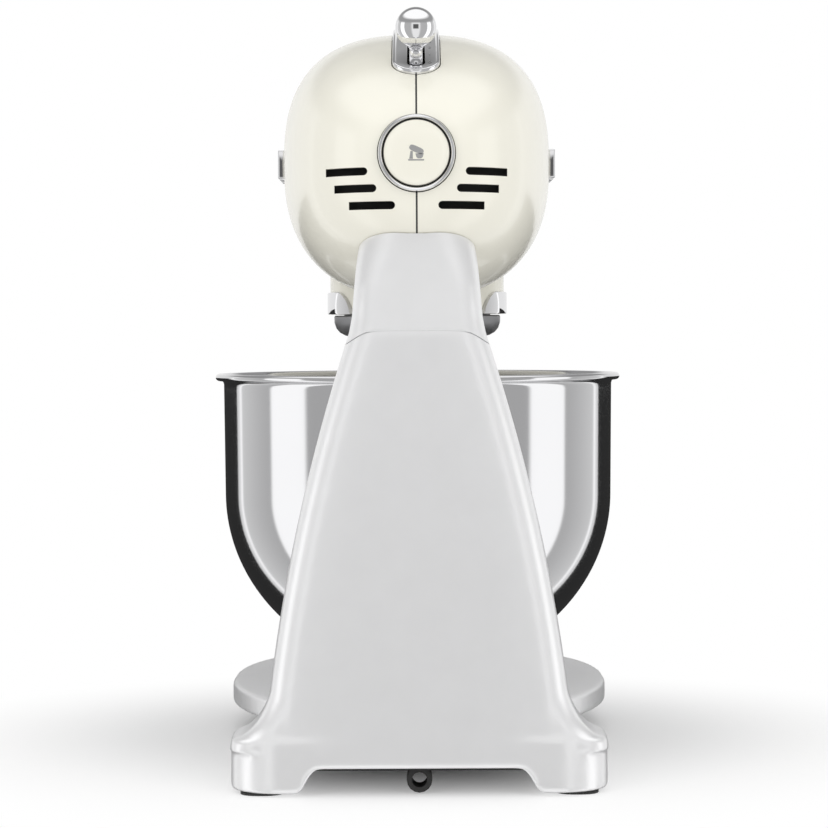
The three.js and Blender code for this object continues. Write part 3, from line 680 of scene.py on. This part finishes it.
def build_head():
    whole = hollow_head()
    left = copy_of(whole, "head_left")
    right = copy_of(whole, "head_right")
    bpy.data.objects.remove(whole)
    combine(left, "INTERSECT", block("left_half", (SEAM_HALF, -260, 200), (90, 260, 400)))
    combine(right, "INTERSECT", block("right_half", (-90, -260, 200), (-SEAM_HALF, 260, 400)))
    reference = head_body("reference", 0, 160, 192)
    for half, node in ((left, "head_shell_left"), (right, "head_shell_right")):
        finish_piece(half, "enamel", "head", node, angle=32)
        take_normals(half, reference)
    bpy.data.objects.remove(reference)


def build_seam_strip():
    """The dark gasket between the two halves of the head, a little below their surface."""
    half = SEAM_HALF - 0.01
    strip = head_body("seam_strip", 0.15)
    combine(strip, "INTERSECT", block("slice", (-half, -260, 200), (half, 260, 400)))
    combine(
        strip, "DIFFERENCE",
        head_body("inside", HEAD_WALL - 0.4, 72, 72),
        block("neck_room", (-2, 91, 200), (2, 153, NECK_TOP)),
        block("drive_room", (-2, AXIS_Y - HUB_OUTER, 200), (2, AXIS_Y + HUB_OUTER, NECK_TOP)),
        rod("nose_room", "y", 28, -260, -150, (0, 0, OUTLET_Z)),
        rod("button_room", "y", 18.8, 150, 260, (0, 0, BUTTON_Z)),
        track_cutter(),
    )
    finish_piece(strip, "black", "head", angle=30)


def vent_cutters():
    """Slots on each side of the rear, round at their inner ends and square at their outer ends."""
    cutters = []
    for z, inner, outer in VENTS:
        for sign in (1, -1):
            outline = [(sign * outer, z - VENT_HALF_HEIGHT), (sign * outer, z + VENT_HALF_HEIGHT)]
            round_end = arc(inner + VENT_HALF_HEIGHT, z, VENT_HALF_HEIGHT, 90, 270)
            outline += [(sign * x, v) for x, v in round_end]
            cutters.append(prism("vent", outline, 130, 205, "xz"))
    return cutters


def track_point(x, along, radius):
    """A point on the lever's arc: along is the length from the top of the arc towards the rear."""
    angle = along / TRACK_TOP
    return (x, LEVER_Y + radius * math.sin(angle), LEVER_Z + radius * math.cos(angle))


def stadium(half_width, low, high):
    """A long outline with half-round ends, as (x, along) points."""
    def end(middle, start):
        return [
            (half_width * math.cos(a), middle + half_width * math.sin(a))
            for a in spread(start, start + math.pi, 20)
        ]
    left = [(half_width, y) for y in spread(low, high, 24)[1:-1]]
    right = [(-half_width, y) for y in spread(high, low, 24)[1:-1]]
    return [*left, *end(high, 0), *right, *end(low, math.pi)]


def track_cutter():
    outline = stadium(TRACK_HALF + TRACK_GAP, TRACK_FRONT, TRACK_REAR)
    rings = [[track_point(x, along, radius) for x, along in outline] for radius in (198, 222)]
    return loft("track_cutter", rings)


def build_track():
    """The chrome strip round the lever slot, with a raised lip along its outer edge."""
    outer = stadium(TRACK_HALF, TRACK_FRONT, TRACK_REAR)
    inner = stadium(TRACK_SLOT_HALF, TRACK_FRONT, TRACK_REAR)
    profile = [
        (0, 208.4), (0, 211.2), (0.04, 211.6), (0.70, 211.8), (0.76, 212.1), (0.80, 212.8), (0.86, 213.0),
        (0.93, 212.9), (0.98, 212.4), (1, 211.4), (1, 208.4),
    ]
    sections = []
    for (outer_x, outer_y), (inner_x, inner_y) in zip(outer, inner):
        section = []
        for across, radius in profile:
            x = inner_x + (outer_x - inner_x) * across
            along = inner_y + (outer_y - inner_y) * across
            section.append(track_point(x, along, radius))
        sections.append(section)
    finish_piece(looped("speed_strip", sections), "chrome", "head", "speed_track", angle=50)


def build_speed_marks():
    """Plain numbers from 0 to 10 beside the lever slot."""
    facing = Matrix.Rotation(math.pi, 4, "Z")
    for number in range(11):
        text = bpy.data.curves.new(f"mark_{number}", "FONT")
        text.body = str(number)
        text.size = 3.4 * MM
        text.extrude = 0.06 * MM
        text.align_x = "CENTER"
        text.align_y = "CENTER"
        obj = bpy.data.objects.new(f"mark_{number}", text)
        SCENE.collection.objects.link(obj)
        along = TRACK_REAR - number * (TRACK_REAR - TRACK_FRONT) / 10.4
        lean = Matrix.Rotation(-along / TRACK_TOP, 4, "X")
        place = Matrix.Translation(Vector(track_point(-6.6, along, 211.9)) * MM)
        graph = bpy.context.evaluated_depsgraph_get()
        bpy.context.view_layer.update()
        mesh = bpy.data.meshes.new_from_object(obj.evaluated_get(graph))
        bpy.data.objects.remove(obj)
        mesh.transform(place @ lean @ facing)
        mark = bpy.data.objects.new(f"speed_mark_{number}", mesh)
        SCENE.collection.objects.link(mark)
        finish_piece(mark, "print", "head")


def build_lever():
    """A chrome ball on a thin stem, leaning to the rear end of its slot."""
    reach = TRACK_TOP + 16.6
    radius = 9.8
    open_end = math.pi * 0.86
    ball = turned("ball", [
        (0, reach + radius),
        *[(radius * math.sin(a), reach + radius * math.cos(a)) for a in spread(0, open_end, 48)[1:]],
        (3.9, reach - 9.6), (3.3, reach - 10.6), (0, reach - 10.6),
    ], (0, 0, 0))
    stem = turned("stem", [
        (0, 206.3), (3.0, 206.3), (3.2, 207), (3.2, reach - 11.4), (2.7, reach - 10.9), (0, reach - 10.9),
    ], (0, 0, 0), "z", 48)
    turn = Matrix.Rotation(-math.radians(TRACK_REAR_DEG), 4, "X")
    place = Matrix.Translation(Vector((0, LEVER_Y, LEVER_Z)) * MM)
    for obj in (ball, stem):
        obj.data.transform(place @ turn)
    finish_piece(ball, "chrome", "lever", "lever_ball")
    finish_piece(stem, "chrome", "lever", "lever_stem")


def build_button():
    """The round release button, with a thin rubber seal and a chrome ring round it."""
    centre = (0, 0, BUTTON_Z)
    bezel = turned("ring", [
        (16.4, 172), (18.2, 172), (18.2, 184.2), (18.1, 184.9), (17.8, 185.4), (17.3, 185.6), (16.8, 185.4),
        (16.5, 185.0), (16.4, 184.5),
    ], centre, "y")
    finish_piece(bezel, "chrome", "head", "button_bezel")
    seal = turned("button_seal", [(15.75, 172.5), (16.4, 172.5), (16.4, 183.2), (15.75, 183.2)], centre, "y")
    finish_piece(seal, "rubber", "head")
    disc = turned("disc", [
        (0, 176.5), (15.4, 176.5), (15.55, 184.2), (15.3, 184.9), (14.7, 185.3), (12, 185.7), (8, 186.0),
        (4, 186.2), (0, 186.25),
    ], centre, "y")
    finish_piece(disc, "enamel", "button", "release_button")


def build_button_sign():
    """A flat sign on the button: a tilted head on a post, over a cup and a short foot."""
    lean = math.radians(24)

    def tilted(u, v):
        return (u * math.cos(lean) - v * math.sin(lean), 1.6 + u * math.sin(lean) + v * math.cos(lean))
    oval = [2 * math.pi * i / 24 for i in range(24)]
    shapes = {
        "sign_head": [tilted(4.2 * power(math.cos(a), 0.55), 1.7 * power(math.sin(a), 0.75)) for a in oval],
        "sign_post": [(2.0, -3.6), (4.0, -3.6), (3.3, 0.8), (2.0, 0.6)],
        "sign_foot": [(-4.2, -4.6), (4.6, -4.6), (4.6, -3.8), (-4.2, -3.8)],
        "sign_cup": [(-4.0, -0.6), (0.6, -0.6), (0.1, -2.6), (-0.8, -3.4), (-2.6, -3.4), (-3.5, -2.6)],
    }
    size = 0.85
    for name, outline in shapes.items():
        placed = [(size * x, BUTTON_Z + size * z) for x, z in outline]
        finish_piece(prism(name, placed, 186.15, 186.27, "xz"), "print", "button")


def mirrored(obj):
    """Turns a shape into its mirror image on the other side of the head."""
    obj.data.transform(Matrix.Scale(-1, 4, (1, 0, 0)))
    obj.data.flip_normals()


def build_badge(side, sign):
    """A row of chrome ribs on a thin rail, bent to the side of the head."""
    pitch = 15
    rail = block("rail", (60, 4.4, 300.6), (70.2, 60.1, 303.4))
    if sign < 0:
        mirrored(rail)
    for i in range(4):
        rib = block("rib", (60, 4 + i * pitch, 294.7), (71.0, 15.3 + i * pitch, 309.3))
        if sign < 0:
            mirrored(rib)
        combine(rail, "UNION", rib)
    combine(rail, "DIFFERENCE", head_body("head_gap", 0.2, 64, 64))
    rounded(rail, 0.7)
    rail.name = f"badge_{side}"
    finish_piece(rail, "chrome", "head", f"side_badge_{side}", angle=40)


def build_hub_trim():
    """A chrome band round the hub, cut away in a curve towards the neck."""
    ring = turned("hub_band", [
        (47.7, 225.6), (48.9, 225.6), (49.1, 226.2), (49.1, 236.8), (48.7, 237.4), (47.7, 237.4),
    ], sides=160)
    curve = [(-25 + 12 * math.sin(a), 238 - 14 * (1 - math.cos(a))) for a in spread(0, math.pi / 2, 10)]
    rear = [(-25, 260), *curve, (-13, 215), (60, 215), (60, 260)]
    combine(ring, "DIFFERENCE", prism("rear_cut", rear, -80, 80, "yz"), head_body("head_gap", -0.2, 72, 72))
    finish_piece(ring, "chrome", "head", "hub_trim")


def build_nose_ring():
    ring = turned("nose_band", [
        (17, -146), (27.3, -160), (27.3, -172.8), (27.0, -174.4), (26.2, -175.3), (21.5, -175.5),
        (21.5, -166), (17, -166),
    ], (0, 0, OUTLET_Z), "y")
    finish_piece(ring, "chrome", "head", "nose_ring")


def build_front_cap():
    """A shallow chrome disc with a raised rim and a slightly domed face."""
    cap = turned("nose_cap", [
        (0, -170), (15, -170), (15, -176.2), (25.8, -176.2), (26.4, -176.9), (26.4, -178.6), (25.8, -179.6),
        (24, -180.6), (22.5, -181.1), (21.8, -180.7), (20, -180.6), (12, -182.0), (6, -182.5), (0, -182.7),
    ], (0, 0, OUTLET_Z), "y")
    finish_piece(cap, "chrome", "cap", "front_cap")


def build_lock_knob():
    """A small fluted handwheel on a thin spindle, on the side of the nose."""
    knob = turned("lock_handwheel", [
        (0, -63), (6.8, -63), (8.6, -62.4), (9.4, -61), (9.5, -50), (8.9, -48.9), (3, -48.6), (3, -24),
        (0, -24),
    ], (0, KNOB_Y, OUTLET_Z), "x")
    flutes = 16
    reach = 10.3
    for i in range(flutes):
        angle = 2 * math.pi * i / flutes
        centre = (0, KNOB_Y + reach * math.cos(angle), OUTLET_Z + reach * math.sin(angle))
        combine(knob, "DIFFERENCE", rod("flute", "x", 1.4, -70, -49.5, centre, 16))
    finish_piece(knob, "chrome", "lock", "lock_knob", angle=30)


# ---------------------------------------------------------------- drive and beater
def build_planet_cover():
    """The grey dome under the hub, bored for the drive shaft and the beater shaft."""
    cover = turned("planet_cover", [
        (0, 213), (30, 213), (36, 213.2), (39.5, 214.0), (42.4, 215.6), (44.4, 218.0), (45.4, 221),
        (45.5, 224.2), (44.9, 224.9), (40, 224.9), (40, 228.2), (0, 228.2),
    ], sides=128)
    combine(
        cover, "DIFFERENCE",
        rod("shaft_bore", "z", 6.3, 220, 240, (0, AXIS_Y, 0)),
        rod("beater_bore", "z", 5.3, 200, 240, (ORBIT, AXIS_Y, 0)),
    )
    finish_piece(cover, "grey", "planetary", "planet_carrier")


def build_beater_shaft():
    """A round shaft with a cross pin that holds the beater."""
    shaft = turned("spindle", [
        (0, 178), (4.4, 178), (5, 178.8), (5, 237), (0, 237),
    ], (ORBIT, AXIS_Y, 0), "z", 64)
    pin = turned("pin", [
        (0, -9), (1.5, -9), (1.8, -8.6), (1.8, 8.6), (1.5, 9), (0, 9),
    ], (ORBIT, AXIS_Y, 184), "x", 32)
    combine(shaft, "UNION", pin)
    finish_piece(shaft, "steel", "beater", "beater_shaft")


def bowl_radius(z, inset):
    """An elliptic bottom up to the shoulder, then a wall that leans out very slightly."""
    deep = (BOWL_SHOULDER - z) / (BOWL_SHOULDER - BOWL_FLOOR + 0.6)
    round_part = math.sqrt(max(0, 1 - deep * deep)) if deep > 0 else 1
    lean = (z - BOWL_SHOULDER) * BOWL_LEAN if z > BOWL_SHOULDER else 0
    return (BOWL_RADIUS - inset) * round_part + lean


BEATER_WIDEST = 70
BEATER_CLEARANCE = 5


def beater_half_width(z, inset):
    return min(BEATER_WIDEST, bowl_radius(z, BOWL_WALL) - ORBIT - BEATER_CLEARANCE) - inset


def build_beater():
    """A flat cast paddle: a rounded frame with a spine and two ribs."""
    def window(sign, low, high):
        """One opening between the spine, the frame and two ribs."""
        outer = [(beater_half_width(z, 9.5), z) for z in spread(low, high, 16)]
        return [(sign * x, z) for x, z in [(5.2, low), *outer, (5.2, high)]]
    half_thickness = 4.2
    edge = [(beater_half_width(z, 0.3), z) for z in spread(43, 152, 40)]
    outline = edge + [(-x, z) for x, z in reversed(edge)]
    paddle = prism("paddle", outline, -half_thickness, half_thickness, "xz")
    windows = [
        prism("window", window(sign, low, high), -10, 10, "xz")
        for sign in (1, -1) for low, high in ((53, 73.5), (82.5, 105.5), (114.5, 142.5))
    ]
    combine(paddle, "DIFFERENCE", *windows)
    rounded(paddle, 1.6, 30)
    neck = turned("paddle_neck", [
        (0, 146), (8.4, 146), (9.6, 150), (10.3, 156), (10.4, 194.6), (9.9, 195.6), (9.2, 196), (0, 196),
    ], (0, 0, 0), "z", 64)
    combine(paddle, "UNION", neck)
    combine(
        paddle, "DIFFERENCE",
        rod("socket", "z", 5.4, 176, 200, (0, 0, 0)),
        block("slot", (-12, -2.2, 181), (12, 2.2, 200)),
    )
    paddle.data.transform(Matrix.Translation(Vector((ORBIT, AXIS_Y, 0)) * MM))
    paddle.name = "beater_paddle"
    finish_piece(paddle, "satin", "beater", "flat_beater", angle=32)


# ---------------------------------------------------------------- bowl
def build_bowl():
    """A thin steel bowl with a round floor and a rolled rim."""
    depth = 96
    outer = [(bowl_radius(BOWL_FLOOR, 0), BOWL_FLOOR)]
    for angle in spread(8, 90, 40):
        z = BOWL_SHOULDER - depth * math.cos(math.radians(angle))
        outer.append((bowl_radius(z, 0), z))
    outer += [(bowl_radius(z, 0), z) for z in spread(134, 186, 8)]
    under_rim = [(105.95, 187.6), (106.3, 188.8), (106.9, 189.5)]
    rim = arc(BOWL_RIM - BOWL_RIM_BEAD, BOWL_RIM_Z, BOWL_RIM_BEAD, -115, 150, 16)
    inner = [(x - BOWL_WALL, max(z, BOWL_FLOOR + BOWL_WALL)) for x, z in reversed(outer)]
    profile = [
        (0, BOWL_FLOOR), *outer, *under_rim, *rim, (105.4, 190.4), *inner, (0, BOWL_FLOOR + BOWL_WALL),
    ]
    finish_piece(turned("steel_bowl", profile, sides=192), "polished", "bowl", "bowl", angle=60)


def build_handle():
    """A flat steel bar bent into a loop, its two ends welded to the bowl."""
    wall = AXIS_Y - BOWL_RADIUS
    front = wall - 41
    upper = arc(front + 16, 159, 16, 90, 180, 16)
    lower = arc(front + 15, 127, 15, 180, 245, 14)
    path = [(wall + 0.8, 175), (wall - 12, 175), *upper, *lower, (wall + 6.5, 94.6)]
    half_width = 11
    half_thickness = 2.6
    sides = 36
    rings = []
    for i, (y, z) in enumerate(path):
        before = path[max(0, i - 1)]
        after = path[min(len(path) - 1, i + 1)]
        along = math.hypot(after[0] - before[0], after[1] - before[1])
        across_y = (before[1] - after[1]) / along
        across_z = (after[0] - before[0]) / along
        ring = []
        for angle in spread(0, 2 * math.pi * (sides - 1) / sides, sides - 1):
            side = half_width * power(math.cos(angle), 0.3)
            depth = half_thickness * power(math.sin(angle), 0.45)
            ring.append((side, y + across_y * depth, z + across_z * depth))
        rings.append(ring)
    finish_piece(loft("handle", rings), "polished", "bowl", "bowl_handle", angle=60)


# ---------------------------------------------------------------- small parts of base and hinge
def build_hinge_bushes():
    """A short nylon bush at each end of the hinge pin."""
    for side, sign in (("left", 1), ("right", -1)):
        profile = [(4.4, 22.8), (6.1, 22.8), (6.1, 27.0), (5.8, 27.3), (4.4, 27.3)]
        placed = [(radius, sign * x) for radius, x in profile]
        bush = turned(f"bush_{side}", placed, (0, PIVOT_Y, PIVOT_Z), "x", 64)
        finish_piece(bush, "nylon", "head", f"hinge_bush_{side}")


def build_underside():
    """The dark sheet that lines the recess under the column: painted shade, put there to darken the shade under
    the rear arch.
    """
    # Painted shade: a black sheet that darkens the recess and the floor seen through the rear arch.
    sheet = prism("recess_shade_sheet", rounded_rect(57.6, 90.4, REAR_Y - 8.4, 6, 8), 11.4, 12.9)
    finish_piece(sheet, "black", "base")


def build_bowl_foot():
    foot = turned("bowl_base_ring", [
        (44, 27.2), (44.4, 26.9), (49.2, 26.9), (49.8, 27.6), (49.8, 42.4), (47.5, 42.0), (47.5, 30),
        (44, 30),
    ], sides=128)
    finish_piece(foot, "polished", "bowl", "bowl_foot")


def build_bowl_seat():
    """The low ring on the platform that the bowl's foot turns in."""
    ring = turned("seat_ring", [
        (56.5, 26.2), (66, 26.2), (66, 33.6), (65.4, 34.6), (64.4, 35), (57.4, 35), (56.5, 34.3),
    ], sides=128)
    finish_piece(ring, "satin", "base", "bowl_seat")


def keep_cad_nodes():
    """The plain machine parts keep their CAD shape and get their materials."""
    slot_of = {row["node"]: row["material_slot"] for row in frame["record"]["subparts"]}
    for name, obj in NODES.items():
        material = MATERIALS[FINISH_OF_SLOT[slot_of[name]]]
        obj.data.materials.clear()
        obj.data.materials.append(material)


# ---------------------------------------------------------------- studio
def maths(nodes, links, operation, first, second=0.0):
    """One arithmetic step; each input is a socket or a number."""
    step = nodes.new("ShaderNodeMath")
    step.operation = operation
    for slot, value in enumerate((first, second)):
        if isinstance(value, bpy.types.NodeSocket):
            links.new(value, step.inputs[slot])
        else:
            step.inputs[slot].default_value = value
    return step.outputs[0]


def blended(nodes, links, share, first, second):
    """Passes from the first level to the second as the share goes from 0 to 1."""
    step = nodes.new("ShaderNodeMix")
    links.new(share, step.inputs["Factor"])
    links.new(first, step.inputs["A"])
    if isinstance(second, bpy.types.NodeSocket):
        links.new(second, step.inputs["B"])
    else:
        step.inputs["B"].default_value = second
    return step.outputs["Result"]


def stepped(nodes, links, source, stops):
    """A grey level that follows a list of (place, level) stops, with levels up to 4."""
    top = 4.0
    table = nodes.new("ShaderNodeValToRGB")
    elements = table.color_ramp.elements
    places, levels = zip(*stops)
    for place in places[2:]:
        elements.new(place)
    for element, place in zip(elements, places):
        element.position = place
    for element, level in zip(elements, levels):
        element.color = (level / top, level / top, level / top, 1)
    links.new(source, table.inputs["Fac"])
    return maths(nodes, links, "MULTIPLY", table.outputs["Color"], top)


def glowing(name, level):
    """A plain surface that shines evenly."""
    material = bpy.data.materials.new(name)
    material.use_nodes = True
    nodes = material.node_tree.nodes
    nodes.remove(nodes["Principled BSDF"])
    glow = nodes.new("ShaderNodeEmission")
    glow.inputs["Color"].default_value = (level, level, level, 1)
    material.node_tree.links.new(glow.outputs["Emission"], nodes["Material Output"].inputs["Surface"])
    return material


def build_floor():
    """A pale round floor that fades to plain white away from the machine."""
    sides = 96
    radius = 1250
    outline = [
        (radius * math.cos(2 * math.pi * i / sides), radius * math.sin(2 * math.pi * i / sides), 0)
        for i in range(sides)
    ]
    floor = new_object("floor", outline, [tuple(range(sides))])
    material, nodes, links, principled = shader("floor", (0.97, 0.97, 0.97), 0.55)
    place = nodes.new("ShaderNodeNewGeometry")
    length = nodes.new("ShaderNodeVectorMath")
    length.operation = "LENGTH"
    links.new(place.outputs["Position"], length.inputs[0])
    fade = nodes.new("ShaderNodeMapRange")
    fade.inputs["From Min"].default_value = 0.10
    fade.inputs["From Max"].default_value = 0.31
    fade.interpolation_type = "SMOOTHSTEP"
    links.new(length.outputs["Value"], fade.inputs["Value"])
    glow = nodes.new("ShaderNodeEmission")
    mix = nodes.new("ShaderNodeMixShader")
    links.new(fade.outputs["Result"], mix.inputs[0])
    links.new(principled.outputs["BSDF"], mix.inputs[1])
    links.new(glow.outputs["Emission"], mix.inputs[2])
    links.new(mix.outputs["Shader"], nodes["Material Output"].inputs["Surface"])
    floor.data.materials.append(material)
    floor.visible_glossy = False


def build_flag():
    """A low black card in front of the machine, which only shows as a dark edge on the bowl."""
    half_width = 1010
    distance = -900
    low = -2500
    top = 172
    corners = [
        (-half_width, distance, low), (half_width, distance, low),
        (half_width, distance, top), (-half_width, distance, top),
    ]
    card = new_object("black_card", corners, [(0, 1, 2, 3)])
    card.data.materials.append(glowing("black_card", 0.03))
    card.visible_camera = False
    card.visible_diffuse = False
    card.visible_shadow = False


def softbox(name, place, aim, width, height, power_watts):
    """A large soft lamp that lights the machine but isn't mirrored in it."""
    light = bpy.data.lights.new(name, "AREA")
    light.shape = "RECTANGLE"
    light.size = width
    light.size_y = height
    light.energy = power_watts
    obj = bpy.data.objects.new(name, light)
    SCENE.collection.objects.link(obj)
    obj.location = place
    obj.rotation_euler = (Vector(aim) - Vector(place)).to_track_quat("-Z", "Y").to_euler()
    obj.visible_glossy = False


def build_world():
    """A studio of bright and grey panels that stand round the machine.

    A share of 0 is the direction behind the machine, and 1 is the direction of its nose.
    """
    world = bpy.data.worlds.new("studio")
    SCENE.world = world
    world.use_nodes = True
    nodes = world.node_tree.nodes
    links = world.node_tree.links
    place = nodes.new("ShaderNodeTexCoord")
    parts = nodes.new("ShaderNodeSeparateXYZ")
    links.new(place.outputs["Generated"], parts.inputs[0])
    sideways = maths(nodes, links, "ABSOLUTE", parts.outputs["X"])
    turn = maths(nodes, links, "ARCTAN2", sideways, parts.outputs["Y"])
    share = maths(nodes, links, "DIVIDE", turn, math.pi)
    round_about = stepped(nodes, links, share, [
        (0.0, 0.95), (0.11, 0.95), (0.17, 0.52), (0.375, 0.52), (0.39, 1.38), (0.53, 1.38),
        (0.54, 0.56), (0.705, 0.80), (0.712, 1.3), (0.722, 1.3), (0.73, 0.90), (1.0, 0.90),
    ])
    height = parts.outputs["Z"]
    window_across = stepped(nodes, links, share, [(0.0, 1.0), (0.07, 1.0), (0.10, 0.0), (1.0, 0.0)])
    off_level = maths(nodes, links, "ABSOLUTE", height)
    window_up = stepped(nodes, links, off_level, [(0.0, 1.0), (0.18, 1.0), (0.26, 0.0), (1.0, 0.0)])
    window = maths(nodes, links, "MULTIPLY", window_across, window_up)
    raised = stepped(nodes, links, height, [(0.0, 0.0), (0.30, 0.0), (0.42, 1.0), (1.0, 1.0)])
    overhead = stepped(nodes, links, height, [(0.0, 0.0), (0.60, 0.0), (0.74, 1.0), (1.0, 1.0)])
    from_edge = maths(nodes, links, "ADD", parts.outputs["Y"], 0.55)
    rearward = maths(nodes, links, "MULTIPLY", from_edge, 6.0)
    panel = nodes.new("ShaderNodeClamp")
    links.new(rearward, panel.inputs["Value"])
    lit = maths(nodes, links, "MULTIPLY", panel.outputs["Result"], 0.95)
    ceiling = maths(nodes, links, "ADD", lit, 0.25)
    level = blended(nodes, links, window, round_about, 0.12)
    level = blended(nodes, links, raised, level, 0.38)
    level = blended(nodes, links, overhead, level, ceiling)
    background = nodes["Background"]
    background.inputs["Color"].default_value = (1, 1, 1, 1)
    links.new(level, background.inputs["Strength"])
    white = nodes.new("ShaderNodeBackground")
    white.inputs["Color"].default_value = (1, 1, 1, 1)
    white.inputs["Strength"].default_value = 1.0
    rays = nodes.new("ShaderNodeLightPath")
    choose = nodes.new("ShaderNodeMixShader")
    links.new(rays.outputs["Is Camera Ray"], choose.inputs[0])
    links.new(background.outputs["Background"], choose.inputs[1])
    links.new(white.outputs["Background"], choose.inputs[2])
    links.new(choose.outputs["Shader"], nodes["World Output"].inputs["Surface"])


def build_camera():
    """A long lens behind the machine, just above half its height and looking along its length."""
    camera = bpy.data.cameras.new("camera")
    camera.sensor_width = 36
    camera.lens = 126.8
    camera.shift_y = -0.104
    camera.shift_x = -0.0040
    obj = bpy.data.objects.new("camera", camera)
    SCENE.collection.objects.link(obj)
    obj.location = (0, 1.554, 0.218)
    obj.rotation_euler = (math.radians(90), math.radians(0.28), math.radians(180))
    SCENE.camera = obj


def build_studio():
    SCENE.view_settings.view_transform = "Standard"
    build_floor()
    build_flag()
    build_world()
    build_camera()
    softbox("left_panel", (0.9, 1.4, 0.8), (0, 0, 0.2), 0.9, 1.2, 6.5)
    softbox("right_panel", (-0.9, 1.4, 0.8), (0, 0, 0.2), 0.9, 1.2, 6.5)


def main():
    keep_cad_nodes()
    skin = build_column_skin()
    build_casting(skin)
    build_neck(skin)
    bpy.data.objects.remove(skin)
    build_seam_strip()
    build_head()
    build_track()
    build_speed_marks()
    build_lever()
    build_button()
    build_button_sign()
    build_badge("left", 1)
    build_badge("right", -1)
    build_hub_trim()
    build_nose_ring()
    build_front_cap()
    build_lock_knob()
    build_planet_cover()
    build_beater_shaft()
    build_beater()
    build_bowl()
    build_handle()
    build_bowl_foot()
    build_bowl_seat()
    build_hinge_bushes()
    build_underside()
    build_studio()


main()
